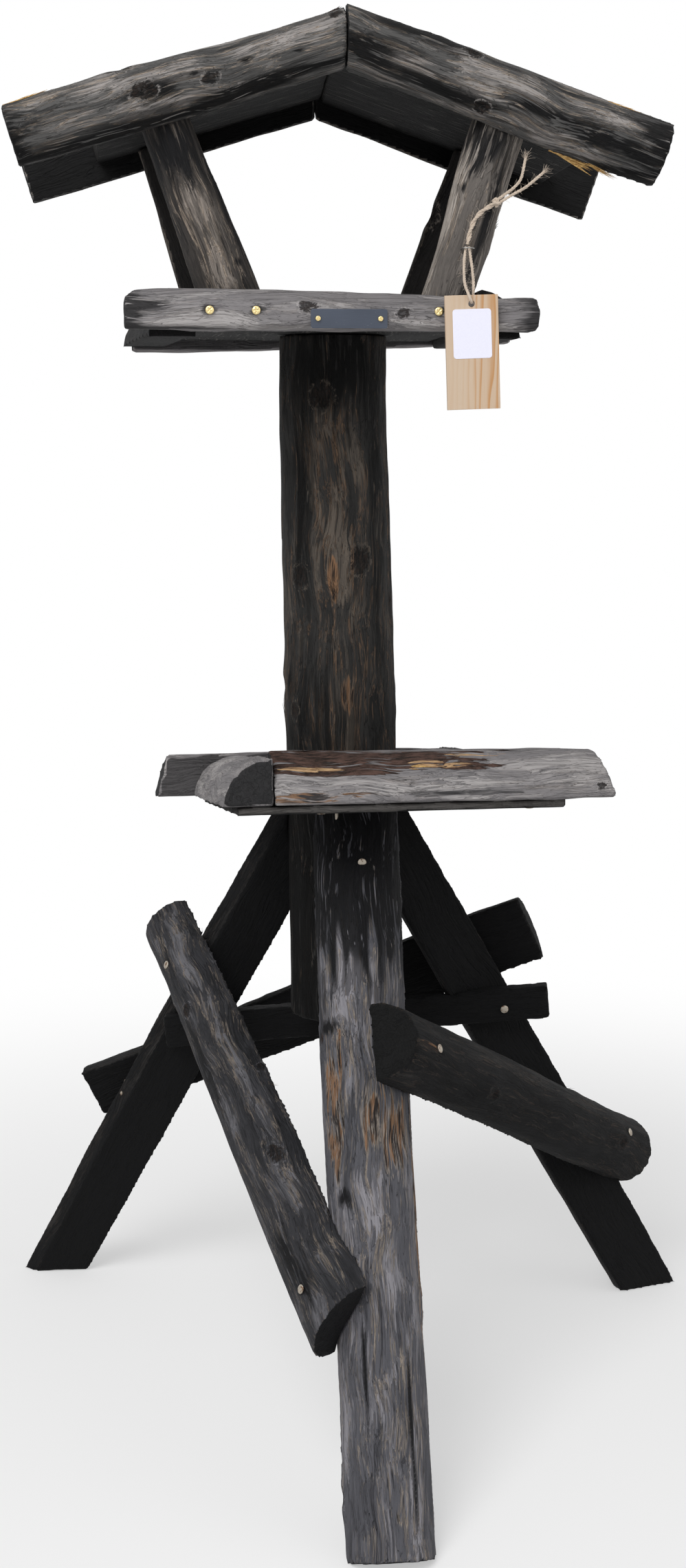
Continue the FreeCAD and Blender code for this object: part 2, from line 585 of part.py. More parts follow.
def make_staple():
    """The wire staple that pins the twine to the upright, arched over both strands."""
    corners = [(-STAPLE_HALF, STAPLE_DEPTH), (-STAPLE_HALF, -STAPLE_ARCH),
               (STAPLE_HALF, -STAPLE_ARCH), (STAPLE_HALF, STAPLE_DEPTH)]
    nodes["twine_staple"] = tube([PIVOT + Vector(x, y, 0) for x, y in corners], STAPLE_WIRE,
                                 "twine_staple")


def write_parts():
    """Move the origin to the ground at the middle of the box, and write each node."""
    box = Part.makeCompound(list(nodes.values())).optimalBoundingBox()
    shift = Vector(-(box.XMin + box.XMax) / 2, -(box.YMin + box.YMax) / 2, -box.ZMin)
    print("shift %.3f %.3f %.3f, size %.1f %.1f %.1f"
          % (shift.x, shift.y, shift.z, box.XLength, box.YLength, box.ZLength))
    pivot = PIVOT + shift
    print("pivot %.2f %.2f %.2f" % (pivot.x, pivot.y, pivot.z))
    os.makedirs("parts", exist_ok=True)
    for name, shape in nodes.items():
        shape.translate(shift)
        if not shape.isValid():
            print("not valid:", name)
        shape.exportStep("parts/%s.step" % name)


make_roof_logs()
make_roof_boards()
make_upper_tray()
make_uprights()
make_post()
make_legs()
make_braces()
make_batten()
make_lower_tray()
make_nails()
make_screws()
make_tag()
make_twine()
make_staple()
write_parts()
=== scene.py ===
# %% [markdown]
# # A rustic bird table
# A roofed tray stands on a post, above a larger tray and a braced tripod. Every stick of it is
# half or a quarter of a peeled pole, stained nearly black and then left out in the rain.
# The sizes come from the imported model. This lesson only dresses it: each piece of wood is
# rebuilt as a fine skin over the same solid, with its grain, knots and tool marks.

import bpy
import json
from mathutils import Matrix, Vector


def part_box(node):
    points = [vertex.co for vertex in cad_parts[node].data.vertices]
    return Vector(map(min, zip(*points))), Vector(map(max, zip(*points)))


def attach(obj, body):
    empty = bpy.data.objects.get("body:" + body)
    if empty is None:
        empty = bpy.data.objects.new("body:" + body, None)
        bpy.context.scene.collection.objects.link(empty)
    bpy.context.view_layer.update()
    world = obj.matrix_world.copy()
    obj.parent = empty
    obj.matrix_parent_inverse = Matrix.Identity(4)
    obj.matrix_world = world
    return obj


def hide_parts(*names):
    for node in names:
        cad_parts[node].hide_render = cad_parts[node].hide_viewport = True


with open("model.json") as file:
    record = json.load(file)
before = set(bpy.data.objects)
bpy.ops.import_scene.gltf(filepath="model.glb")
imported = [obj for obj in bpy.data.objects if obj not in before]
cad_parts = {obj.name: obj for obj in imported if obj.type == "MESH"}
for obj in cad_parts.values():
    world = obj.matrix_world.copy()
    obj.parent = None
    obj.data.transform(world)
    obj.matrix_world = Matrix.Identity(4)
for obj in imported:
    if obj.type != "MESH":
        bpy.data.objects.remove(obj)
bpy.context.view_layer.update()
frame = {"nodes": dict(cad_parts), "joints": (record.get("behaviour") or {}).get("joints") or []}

# %% Helpers that the whole lesson uses
import json
import math
import random
from types import SimpleNamespace

import bmesh
import bpy
import numpy as np
from mathutils import Matrix, Vector, noise
from mathutils.bvhtree import BVHTree

MM = 0.001
WELD = 0.02 * MM
scene = bpy.context.scene
nodes = frame["nodes"]
hinge = Vector(frame["joints"][0]["pos_m"])
HINGE_FROM_POST = Vector((0.0945, -0.1426, 1.0520))
POST_AXIS = hinge - HINGE_FROM_POST


def from_post(x, y, z):
    """A point given in metres from the post's axis, in the model's own frame."""
    return POST_AXIS + Vector((x, y, z))


def place_mesh(name, mesh, body):
    """Puts a finished mesh in the scene, on its body."""
    piece = bpy.data.objects.new(name, mesh)
    scene.collection.objects.link(piece)
    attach(piece, body)
    return piece


print("the post stands at", tuple(round(value, 4) for value in POST_AXIS))

# %% [markdown]
# ## The camera
# The photograph was taken from about two metres, from a height a little below the upper tray
# and a little to the left, looking slightly down. The camera could be matched by eye, but the
# poles' ends give its pitch, its turn and its distance, so they are written here as measured.

# %% Set up the camera
PHOTO_WIDTH, PHOTO_HEIGHT = 998, 2280
FOCAL_PIXELS = 3000.0
HORIZON_ABOVE_MIDDLE = 500.0
PITCH_DOWN = math.atan2(HORIZON_ABOVE_MIDDLE, FOCAL_PIXELS)
TURN = math.radians(6.0)
SENSOR = 24.0
EYE_BACK, EYE_HEIGHT, EYE_RIGHT = 1.950, 0.890, 0.002

level_ahead = Vector((math.sin(TURN), math.cos(TURN), 0))
to_the_right = Vector((math.cos(TURN), -math.sin(TURN), 0))
upright = Vector((0, 0, 1))
ahead = level_ahead * math.cos(PITCH_DOWN) - upright * math.sin(PITCH_DOWN)
up_in_view = level_ahead * math.sin(PITCH_DOWN) + upright * math.cos(PITCH_DOWN)
eye = POST_AXIS - level_ahead * EYE_BACK + upright * EYE_HEIGHT + to_the_right * EYE_RIGHT

lens = bpy.data.cameras.new("camera")
lens.sensor_fit = "VERTICAL"
lens.sensor_height = SENSOR
lens.lens = FOCAL_PIXELS / PHOTO_HEIGHT * SENSOR
camera = bpy.data.objects.new("camera", lens)
turned = Matrix((to_the_right, up_in_view, -ahead)).transposed().to_4x4()
camera.matrix_world = Matrix.Translation(eye) @ turned
scene.collection.objects.link(camera)
scene.camera = camera


def sight(x, y):
    """The direction from the eye through a pixel of the photograph."""
    return (ahead + to_the_right * ((x - PHOTO_WIDTH / 2) / FOCAL_PIXELS)
            - up_in_view * ((y - PHOTO_HEIGHT / 2) / FOCAL_PIXELS)).normalized()


print("the camera stands %.2f m from the post" % (eye - from_post(0, 0, EYE_HEIGHT)).length)

# %% [markdown]
# ## The jute twine
# The tag hangs on a loop of thin jute. Above a staple both strands are twisted together, run up
# the upright to an overhand knot, and end in two loose tails. A bevelled curve would give smooth
# hose. Real twine is laid: plies wind round each other. So the route is a smooth spline, and thin
# tubes wind round the points read from it.

# %% Routes of the twine, in metres from the post's axis
LOOP = [(0.0930, -0.1426, 1.0530), (0.0909, -0.1468, 1.0455), (0.0884, -0.1605, 1.0310),
        (0.0876, -0.1705, 1.0195), (0.0892, -0.1788, 1.0124), (0.0922, -0.1798, 1.0047),
        (0.0936, -0.1694, 1.0047), (0.0956, -0.1687, 1.0130), (0.0962, -0.1635, 1.0240),
        (0.0964, -0.1540, 1.0365), (0.0960, -0.1470, 1.0460), (0.0958, -0.1426, 1.0530)]
TAIL = [(0.0943, -0.1424, 1.0551), (0.0960, -0.1414, 1.0650), (0.1003, -0.1401, 1.0760),
        (0.1075, -0.1399, 1.0843), (0.1183, -0.1386, 1.0897)]
END_A = [(0.1190, -0.1385, 1.0918), (0.1257, -0.1390, 1.0967), (0.1332, -0.1400, 1.1019),
         (0.1402, -0.1410, 1.1088), (0.1420, -0.1420, 1.1180), (0.1441, -0.1420, 1.1288)]
END_B = [(0.1206, -0.1385, 1.0894), (0.1317, -0.1390, 1.0966), (0.1425, -0.1410, 1.1019),
         (0.1513, -0.1440, 1.1087), (0.1600, -0.1460, 1.1163)]
KNOT = Vector((0.1198, -0.1385, 1.0906))
KNOT_LINE = Vector((0.84, 0.05, 0.54)).normalized()
TWINE = 0.0026
TWISTED_TWINE = 0.0044
STEPS_PER_CONTROL = 24


def spline_points(points):
    """The points of a smooth line that has the route's points as its controls."""
    curve = bpy.data.curves.new("route", "CURVE")
    curve.dimensions = "3D"
    curve.resolution_u = STEPS_PER_CONTROL
    line = curve.splines.new("NURBS")
    line.points.add(len(points) - 1)
    for control, point in zip(line.points, points):
        control.co = (*from_post(*point), 1)
    line.order_u = 3
    line.use_endpoint_u = True
    carrier = bpy.data.objects.new("route", curve)
    scene.collection.objects.link(carrier)
    graph = bpy.context.evaluated_depsgraph_get()
    mesh = bpy.data.meshes.new_from_object(carrier.evaluated_get(graph))
    found = [vertex.co.copy() for vertex in mesh.vertices]
    bpy.data.objects.remove(carrier)
    return found


def length_of(line):
    """The length of a line of points."""
    return sum((after - before).length for before, after in zip(line, line[1:]))


loop_line = spline_points(LOOP)
print("the loop is %.0f mm of twine, in %d points" % (length_of(loop_line) / MM, len(loop_line)))

# %% Wind plies round a line
PLY_SIDES = 8
PLIES = 3
PLY_UNEVEN = 0.12
PLY_SWELLS = 40


def side_frames(line):
    """Two directions across the line at each point, turned as little as possible."""
    frames = []
    across = None
    for index, point in enumerate(line):
        along = (line[min(index + 1, len(line) - 1)] - line[max(index - 1, 0)]).normalized()
        across = along.orthogonal() if across is None else across - along * across.dot(along)
        across = across.normalized()
        frames.append((across, along.cross(across)))
    return frames


def helix(line, radius, pitch, start_angle):
    """A line that winds round another one."""
    wound = []
    travelled = 0.0
    previous = line[0]
    for point, (first, second) in zip(line, side_frames(line)):
        travelled += (point - previous).length
        previous = point
        angle = start_angle + 2 * math.pi * travelled / pitch
        wound.append(point + (first * math.cos(angle) + second * math.sin(angle)) * radius)
    return wound


def join_rings(mesh, before, after):
    """Faces between two rings of equally many corners."""
    for side in range(len(before)):
        near = (side + 1) % len(before)
        mesh.faces.new((before[side], before[near], after[near], after[side]))


def add_tube(mesh, line, radius, sides=PLY_SIDES):
    """Adds a closed tube along a line. The radius may be a number or a rule of the share along."""
    rings = []
    for index, (point, (first, second)) in enumerate(zip(line, side_frames(line))):
        size = radius(index / (len(line) - 1)) if callable(radius) else radius
        ring = [mesh.verts.new(point + (first * math.cos(angle) + second * math.sin(angle)) * size)
                for angle in [2 * math.pi * side / sides for side in range(sides)]]
        rings.append(ring)
    for before, after in zip(rings, rings[1:]):
        join_rings(mesh, before, after)
    mesh.faces.new(rings[0][::-1])
    mesh.faces.new(rings[-1])


def uneven(radius, ply):
    """A rule for a ply that swells and thins a little along its length."""
    return lambda share: radius * (1 - PLY_UNEVEN * math.sin(PLY_SWELLS * share + ply))


def laid_twine(name, lines, ply_radius, lay_radius, pitch):
    """A mesh of three plies laid round each line, a little uneven in thickness."""
    shape = bmesh.new()
    for line in lines:
        for ply in range(PLIES):
            wound = helix(line, lay_radius, pitch, 2 * math.pi * ply / PLIES)
            add_tube(shape, wound, uneven(ply_radius, ply))
    return finish_mesh(name, shape)


def finish_mesh(name, shape, smooth=True):
    """Turns an edited mesh into mesh data with outward faces."""
    bmesh.ops.recalc_face_normals(shape, faces=shape.faces)
    mesh = bpy.data.meshes.new(name)
    shape.to_mesh(mesh)
    shape.free()
    for face in mesh.polygons:
        face.use_smooth = smooth
    return mesh


# %% Make the loop, the twisted stretch and the two ends
PLY = 0.00068
PLY_PITCH = 0.0085
STRAND_PITCH = 0.021
STRAND_APART = 0.0009
twine_pieces = []


def add_cord(name, points, body, strand_places=((0, 0),)):
    """One stretch of twine, laid round its route."""
    line = spline_points(points)
    strands = [helix(line, away, STRAND_PITCH, turn) for away, turn in strand_places]
    mesh = laid_twine(name, strands, PLY, TWINE / 2 - PLY, PLY_PITCH)
    piece = place_mesh(name, mesh, body)
    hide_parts(name)
    twine_pieces.append(piece)
    return line


loop_line = add_cord("twine_loop", LOOP, "tag")
tail_line = add_cord("twine_tail", TAIL, "table",
                     ((STRAND_APART, 0.0), (STRAND_APART, math.pi)))
end_a_line = add_cord("twine_end_a", END_A, "table")
end_b_line = add_cord("twine_end_b", END_B, "table")
print("lengths in millimetres:", [round(length_of(line) / MM, 1)
                                  for line in (loop_line, tail_line, end_a_line, end_b_line)])

# %% [markdown]
# ## The knot and the loose fibres
# An overhand knot is a trefoil pulled tight, so its line is the trefoil's formula, squeezed to
# the size of the real knot. Jute is hairy: short fibres stand off every strand and the cut ends
# fray. Particles would do it, but a few hundred thin tubes are real geometry.

# %% Tie the knot
KNOT_LOOPS = 0.00105
KNOT_POINTS = 96
KNOT_PLY = 0.0008
KNOT_LAY = 0.00065
KNOT_PITCH = 0.009


def trefoil(centre, axis, size, points):
    """The line of an overhand knot, drawn round an axis."""
    first = axis.orthogonal().normalized()
    second = axis.cross(first)
    line = []
    for index in range(points + 1):
        turn = 2 * math.pi * index / points
        sideways = math.sin(turn) + 2 * math.sin(2 * turn)
        upwards = math.cos(turn) - 2 * math.cos(2 * turn)
        line.append(centre + (first * sideways + second * upwards) * size
                    - axis * (1.5 * size * math.sin(3 * turn)))
    return line


knot_line = trefoil(from_post(*KNOT), KNOT_LINE, KNOT_LOOPS, KNOT_POINTS)
knot_mesh = laid_twine("twine_knot", [knot_line], KNOT_PLY, KNOT_LAY, KNOT_PITCH)
knot = place_mesh("twine_knot", knot_mesh, "table")
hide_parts("twine_knot")
twine_pieces.append(knot)
print("the knot is tied of %.0f mm of twine" % (length_of(knot_line) / MM))

# %% Let fibres stand off the twine
FIBRE = 0.00007
HAIR_LENGTHS = (0.0015, 0.005)
FRAY_FIBRES = 26
FRAY_LENGTHS = (0.003, 0.0075)
fibre_draw = random.Random(11)


def hair(start, direction, length, droop):
    """A short curved line that leaves the twine."""
    bend = Vector([fibre_draw.uniform(-1, 1) for _ in range(3)]) * droop
    return [start + direction * (length * share) + bend * (length * share * share)
            for share in (0, 0.25, 0.5, 0.75, 1)]


def fibres(name, line, radius, body, per_mm, frays=()):
    """Hairs along a line, with a fray at each named end."""
    shape = bmesh.new()
    frames = side_frames(line)
    for _ in range(int(length_of(line) / MM * per_mm)):
        place = fibre_draw.randrange(1, len(line) - 1)
        first, second = frames[place]
        angle = fibre_draw.uniform(0, 2 * math.pi)
        outward = first * math.cos(angle) + second * math.sin(angle)
        along = (line[place + 1] - line[place - 1]).normalized()
        direction = (along * fibre_draw.uniform(0.4, 1) + outward).normalized()
        start = line[place] + outward * (radius * 0.7)
        add_tube(shape, hair(start, direction, fibre_draw.uniform(*HAIR_LENGTHS), 0.5), FIBRE, 3)
    for end in frays:
        tip = line[end]
        along = (tip - line[-3 if end == -1 else 2]).normalized()
        for _ in range(FRAY_FIBRES):
            spread = Vector([fibre_draw.gauss(0, 0.34) for _ in range(3)])
            direction = (along + spread).normalized()
            start = tip - along * 0.002 + spread * radius
            length = fibre_draw.uniform(*FRAY_LENGTHS)
            add_tube(shape, hair(start, direction, length, 0.35), FIBRE * 1.5, 3)
    twine_pieces.append(place_mesh(name, finish_mesh(name, shape), body))


fibres("loop_fibres", loop_line[10:-10], TWINE / 2, "tag", 0.9)
fibres("tail_fibres", tail_line, TWISTED_TWINE / 2, "table", 1.6)
fibres("knot_fibres", knot_line, TWINE / 2, "table", 0.5)
fibres("end_a_fibres", end_a_line, TWINE / 2, "table", 1.0, frays=(-1,))
fibres("end_b_fibres", end_b_line, TWINE / 2, "table", 1.0, frays=(-1,))
print("fibre faces:", sum(len(piece.data.polygons) for piece in twine_pieces[-5:]))

# %% [markdown]
# ## How a finish is built
# Every finish below is made of nodes. These helpers keep each one short to read: a step adds
# one node and hands back its output, and the rest are the few steps that wood and metal share.

# %% Node helpers
def new_finish(name):
    """A fresh material, its node tree and its surface node."""
    finish = bpy.data.materials.new(name)
    finish.use_nodes = True
    return finish, finish.node_tree, finish.node_tree.nodes["Principled BSDF"]


def step(tree, kind, inputs=(), out=0, **settings):
    """Adds a node, fills or links its inputs, and gives back one output."""
    made = tree.nodes.new("ShaderNode" + kind)
    for name, value in settings.items():
        setattr(made, name, value)
    for key, value in (inputs.items() if isinstance(inputs, dict) else enumerate(inputs)):
        if isinstance(value, bpy.types.NodeSocket):
            tree.links.new(value, made.inputs[key])
        else:
            made.inputs[key].default_value = value
    return made.outputs[out]


def maths(tree, operation, first, second=0.0):
    """One sum on two values."""
    return step(tree, "Math", (first, second), operation=operation)


def sum_of(tree, *terms):
    """Adds up pairs of a value and its weight, or plain numbers."""
    total = 0.0
    for term in terms:
        part = maths(tree, "MULTIPLY", *term) if isinstance(term, tuple) else term
        total = maths(tree, "ADD", total, part)
    return total


def stretch(tree, vector, factors):
    """Scales a vector by a factor for each axis."""
    return step(tree, "VectorMath", (vector, factors), operation="MULTIPLY")


def mottle(tree, vector, detail=4.0, roughness=0.55, distortion=0.0):
    """Cloudy noise from 0 to 1."""
    return step(tree, "TexNoise", {"Vector": vector, "Scale": 1.0, "Detail": detail,
                                   "Roughness": roughness, "Distortion": distortion})


def object_cloud(tree, factors, detail, roughness):
    """Cloudy noise laid over the piece by its own coordinates."""
    return mottle(tree, stretch(tree, step(tree, "TexCoord", out=3), factors), detail, roughness)


def band(tree, value, low, high):
    """0 below low, 1 above high, smooth between."""
    return step(tree, "MapRange", (value, low, high, 0.0, 1.0), interpolation_type="SMOOTHSTEP")


def blend(tree, share, first, second):
    """One colour fading to another."""
    return step(tree, "Mix", {0: share, 6: first, 7: second}, out=2, data_type="RGBA")


def colour(red, green, blue):
    """A colour given as it looks on a screen, 0 to 255."""
    def straight(value):
        share = value / 255
        return share / 12.92 if share <= 0.04045 else ((share + 0.055) / 1.055) ** 2.4
    return (straight(red), straight(green), straight(blue), 1.0)


def set_inputs(surface, **values):
    """Sets the surface node's own sockets, with spaces for underscores."""
    for name, value in values.items():
        surface.inputs[name.replace("_", " ")].default_value = value


def dress(tree, surface, paint, rough, height, strength=1.0):
    """Gives a surface its colour, its roughness and its fine relief."""
    bump = step(tree, "Bump", {"Strength": strength, "Distance": 1.0, "Height": height})
    for socket, value in (("Base Color", paint), ("Roughness", rough), ("Normal", bump)):
        tree.links.new(value, surface.inputs[socket])


print("a mid grey is", tuple(round(value, 3) for value in colour(128, 128, 128)))

# %% [markdown]
# ## Stained, weathered pole wood
# A peeled pole shows the side of its growth rings. Each ring is a thin sleeve, and the drawknife
# cuts through a few of them, so the surface is a map of terraces whose ends are torn into long
# points: darker where the stain sits, paler where rain has washed the wood. The pattern could be
# painted as an image. Here it is worked out: every vertex knows how far along the grain it lies
# and how far from the heart. Before a soft cloud of noise is cut into flat terraces, each column
# of fibres is slid along the grain by its own amount, so every edge is torn into fingers.

# %% Clouds of noise that run with the grain
CLOUDS = {
    "fibre": ((34, 620, 620), 4.0, 0.65),
    "streak": ((14, 230, 230), 3.0, 0.6),
    "broad": ((6, 30, 30), 2.0, 0.5, 0.4),
    "fleck": ((150, 480, 480), 3.0, 0.7),
    "columns": ((9, 340, 340), 2.0, 0.6),
    "cracks": ((6, 110, 110), 2.0, 0.5),
    "gnarl": ((150, 190, 190), 3.0, 0.62, 1.2),
    "flakes": ((70, 260, 260), 5.0, 0.7)}
GRAIN_SWAY = 0.022
COLUMN_SLIDE = 0.11


def read(tree, field, out=2):
    """A field that the mesh carries for each of its points."""
    return step(tree, "Attribute", out=out, attribute_name=field)


def times(tree, first, second):
    """The product of two values."""
    return maths(tree, "MULTIPLY", first, second)


def ridge(tree, value, low, middle, high):
    """Rises from low to middle, and falls again to high."""
    return maths(tree, "SUBTRACT", band(tree, value, low, middle), band(tree, value, middle, high))


def wood_clouds(tree, ring):
    """Every pattern that the layers of the finish are cut from."""
    straight = read(tree, "grain", 1)
    sway = step(tree, "TexNoise", {"Vector": stretch(tree, straight, (13, 16, 16)), "Scale": 1.0,
                                   "Detail": 1.0}, out=1)
    grain = step(tree, "VectorMath", (sway, (0.0, GRAIN_SWAY, GRAIN_SWAY), straight),
                 operation="MULTIPLY_ADD")
    wood = SimpleNamespace(saw=mottle(tree, stretch(tree, straight, (420, 18, 18)), 2.0, 0.5))
    for name, (factors, *softness) in CLOUDS.items():
        setattr(wood, name, mottle(tree, stretch(tree, grain, factors), *softness))
    slid = step(tree, "VectorMath", (step(tree, "CombineXYZ", (wood.columns, 0.0, 0.0)),
                                     (COLUMN_SLIDE, 1.0, 1.0), grain), operation="MULTIPLY_ADD")
    wood.flame = mottle(tree, stretch(tree, slid, (17, 64, 64)), 2.5, 0.55)
    wood.small_flame = mottle(tree, stretch(tree, slid, (38, 150, 150)), 2.0, 0.5)
    torn = sum_of(tree, -3.05, (wood.columns, 4.0), (wood.flame, 1.2), (wood.fibre, 0.9))
    wood.torn = sum_of(tree, 1.0, torn)
    wood.from_heart = step(tree, "VectorMath", (stretch(tree, grain, (0, 1, 1)),), out=1,
                           operation="LENGTH")
    pushed = sum_of(tree, wood.from_heart, read(tree, "warp"), (wood.broad, 0.014),
                    (wood.columns, 0.012), (wood.flame, 0.010))
    wood.layers = maths(tree, "DIVIDE", pushed, ring)
    wood.terrace = maths(tree, "FRACT", wood.layers)
    return wood


def torn_field(tree, wood, kind):
    """The field of one kind of mark, with an edge torn along the fibres."""
    return times(tree, read(tree, kind), wood.torn)


print("clouds:", ", ".join(CLOUDS))

# %% [markdown]
# ## Layers of colour, from the wood outwards
# The real poles carry their history in layers: stained and washed wood, saw marks on the flats,
# then bark, torn brown wood, knots and cut ends. Dark marks go over the bare wood as well: painted
# shade where a piece lies in shadow, and stains round the nails. Each could be a material of its
# own on its own patch of faces, but then the borders would follow the faces. Here one material
# mixes them one over another, and every border follows the fibres.

# %% Bare wood: terraces, pale rims and sawn faces
RIM_STRENGTH = 0.8


def bare_wood(tree, wood, tones, lift):
    """Stained and washed layers, with pale rims and a painted shadow line at each terrace step.
    Lift makes them paler.
    """
    layer_tone = step(tree, "TexWhiteNoise", {"W": maths(tree, "FLOOR", wood.layers)},
                      noise_dimensions="1D")
    tone = sum_of(tree, lift - 0.85, (wood.broad, 0.95),
                  (band(tree, wood.flame, 0.485, 0.505), 0.26),
                  (band(tree, wood.flame, 0.57, 0.59), 0.22),
                  (band(tree, wood.small_flame, 0.54, 0.56), 0.12), (layer_tone, 0.10),
                  (wood.fibre, 0.70), (wood.streak, 0.30), (wood.fleck, 0.25), (wood.peel, 0.26))
    paint = blend(tree, band(tree, tone, -0.22, 0.5), tones.deep, tones.body)
    paint = blend(tree, band(tree, tone, 0.5, 1.15), paint, tones.silver)
    rims = sum_of(tree, (ridge(tree, wood.flame, 0.475, 0.49, 0.52), 0.9),
                  (ridge(tree, wood.flame, 0.56, 0.575, 0.60), 0.9),
                  (ridge(tree, wood.worn, 0.36, 0.45, 0.60), 1.2))
    rims = times(tree, rims, band(tree, wood.streak, 0.42, 0.58))
    paint = blend(tree, times(tree, rims, RIM_STRENGTH), paint, tones.peeled)
    shadow = times(tree, maths(tree, "SUBTRACT", 1.0, band(tree, wood.terrace, 0.0, 0.14)),
                   band(tree, wood.small_flame, 0.46, 0.58))
    return blend(tree, times(tree, shadow, RIM_STRENGTH), paint, tones.deep)


def sawn_wood(tree, wood, tones, paint, board_share, board_pale):
    """Flat sawn faces, marked across by the saw."""
    share = sum_of(tree, -0.55, (wood.saw, 0.5), (wood.fibre, 1.2), (wood.broad, 0.8),
                   (wood.streak, 0.5))
    board = blend(tree, share, tones.deep, blend(tree, board_pale, tones.body, tones.silver))
    return blend(tree, band(tree, read(tree, "sawn"), 0.4, 0.7), paint,
                 blend(tree, board_share, tones.deep, board))


print("rims and shadow lines are mixed in with a share of", RIM_STRENGTH)

# %% What lies over the bare wood: painted shade and stains, bark, torn wood, knots and cut ends
BARK_BROWN = colour(88, 68, 61)
RUST_BROWN = colour(124, 94, 70)
SOOT_BROWN = colour(40, 32, 28)
FRESH_WOOD = colour(190, 158, 120)
END_RING = 0.0026


def over_wood(tree, wood, tones, paint):
    """Painted shade and stains from the dark marks, then bark, then torn brown wood, then raw wood.
    """
    # The dark field paints shade on tops and ends that lie in shadow and on board undersides, and
    # stain round the nails.
    shade = band(tree, torn_field(tree, wood, "dark"), 0.34, 0.60)
    stain_and_shade = sum_of(tree, 0.62, (band(tree, read(tree, "dark"), 0.55, 0.85), 0.35))
    paint = blend(tree, times(tree, shade, stain_and_shade), paint,
                  blend(tree, band(tree, wood.fibre, 0.58, 1.3), tones.deep, tones.body))
    paint = blend(tree, wood.bark, paint,
                  blend(tree, band(tree, wood.flakes, 0.35, 0.62), SOOT_BROWN, BARK_BROWN))
    rusty = torn_field(tree, wood, "rust")
    rust_paint = blend(tree, band(tree, wood.small_flame, 0.44, 0.56),
                       blend(tree, wood.fleck, tones.deep, SOOT_BROWN), RUST_BROWN)
    rust_paint = blend(tree, band(tree, wood.fibre, 0.52, 0.66), rust_paint, tones.peeled)
    paint = blend(tree, times(tree, band(tree, rusty, 0.44, 0.54), 0.92), paint, rust_paint)
    paint = blend(tree, times(tree, ridge(tree, rusty, 0.34, 0.44, 0.58), 0.6), paint, tones.peeled)
    fresh = band(tree, torn_field(tree, wood, "fresh"), 0.44, 0.52)
    return blend(tree, fresh, paint,
                 blend(tree, band(tree, wood.fibre, 0.36, 0.6), RUST_BROWN, FRESH_WOOD))


def knots_and_ends(tree, wood, tones, paint):
    """Dark ragged knots with broken pale rims, and ringed cut ends."""
    swirl = times(tree, band(tree, maths(tree, "FRACT", times(tree, wood.eye, 4.0)), 0.5, 0.95),
                  band(tree, wood.eye, 0.10, 0.3))
    paint = blend(tree, times(tree, swirl, 0.45), paint, tones.deep)
    rim = times(tree, ridge(tree, wood.eye, 0.16, 0.30, 0.44), band(tree, wood.gnarl, 0.44, 0.62))
    paint = blend(tree, times(tree, rim, 0.75), paint, tones.silver)
    paint = blend(tree, times(tree, band(tree, wood.eye, 0.40, 0.56), 0.9), paint,
                  blend(tree, band(tree, wood.fleck, 0.4, 0.65), tones.deep, SOOT_BROWN))
    paint = blend(tree, times(tree, band(tree, wood.eye, 0.90, 1.05), 0.25), paint, tones.body)
    rings = maths(tree, "FRACT", maths(tree, "DIVIDE", sum_of(tree, wood.from_heart,
                                                              (wood.broad, 0.006)), END_RING))
    end_paint = blend(tree, sum_of(tree, (rings, 0.35), (wood.fleck, 0.5), (wood.small_flame, 0.3)),
                      tones.deep, tones.end)
    return blend(tree, band(tree, read(tree, "cut"), 0.4, 0.7), paint, end_paint)


print("marks cover the bare wood in this order: dark, bark, rust, fresh, knot, cut")

# %% The weathered wood finishes
RING = 0.0034
TAN = (152, 138, 124)
GREY = (46, 46, 47)


def wood_finish(name, deep, body, silver, lift, ring=RING, end=GREY, peeled=TAN, board_share=0.3,
                board_pale=0.0):
    """Weathered wood in its own tones, from the deep stain to the washed silver."""
    finish, tree, surface = new_finish(name)
    tones = SimpleNamespace(deep=colour(*deep), body=colour(*body), silver=colour(*silver),
                            end=colour(*end), peeled=colour(*peeled))
    wood = wood_clouds(tree, ring)
    wood.worn = torn_field(tree, wood, "peel")
    wood.peel = band(tree, wood.worn, 0.46, 0.52)
    wood.bark = band(tree, torn_field(tree, wood, "bark"), 0.30, 0.38)
    wood.eye = times(tree, read(tree, "knot"),
                     sum_of(tree, -1.0, (wood.gnarl, 3.0), (wood.fibre, 1.0)))
    paint = bare_wood(tree, wood, tones, lift)
    paint = sawn_wood(tree, wood, tones, paint, board_share, board_pale)
    paint = over_wood(tree, wood, tones, paint)
    paint = knots_and_ends(tree, wood, tones, paint)
    from_crack = maths(tree, "ABSOLUTE", sum_of(tree, wood.cracks, -0.42))
    crack = maths(tree, "SUBTRACT", 1.0, band(tree, from_crack, 0.004, 0.02))
    height = sum_of(tree, (wood.fibre, 0.0008), (wood.terrace, 0.0004),
                    (band(tree, wood.flame, 0.48, 0.50), -0.0007),
                    (band(tree, wood.flame, 0.57, 0.59), -0.0007), (crack, -0.0008),
                    (wood.peel, -0.0010), (wood.eye, -0.0008), (wood.fleck, 0.0004),
                    (wood.small_flame, 0.0008), (times(tree, wood.bark, wood.flakes), 0.0018),
                    (wood.saw, 0.0001))
    dress(tree, surface, paint, sum_of(tree, 0.68, (wood.fibre, 0.25), (wood.bark, 0.1)), height)
    set_inputs(surface, Specular_IOR_Level=0.16)
    return finish


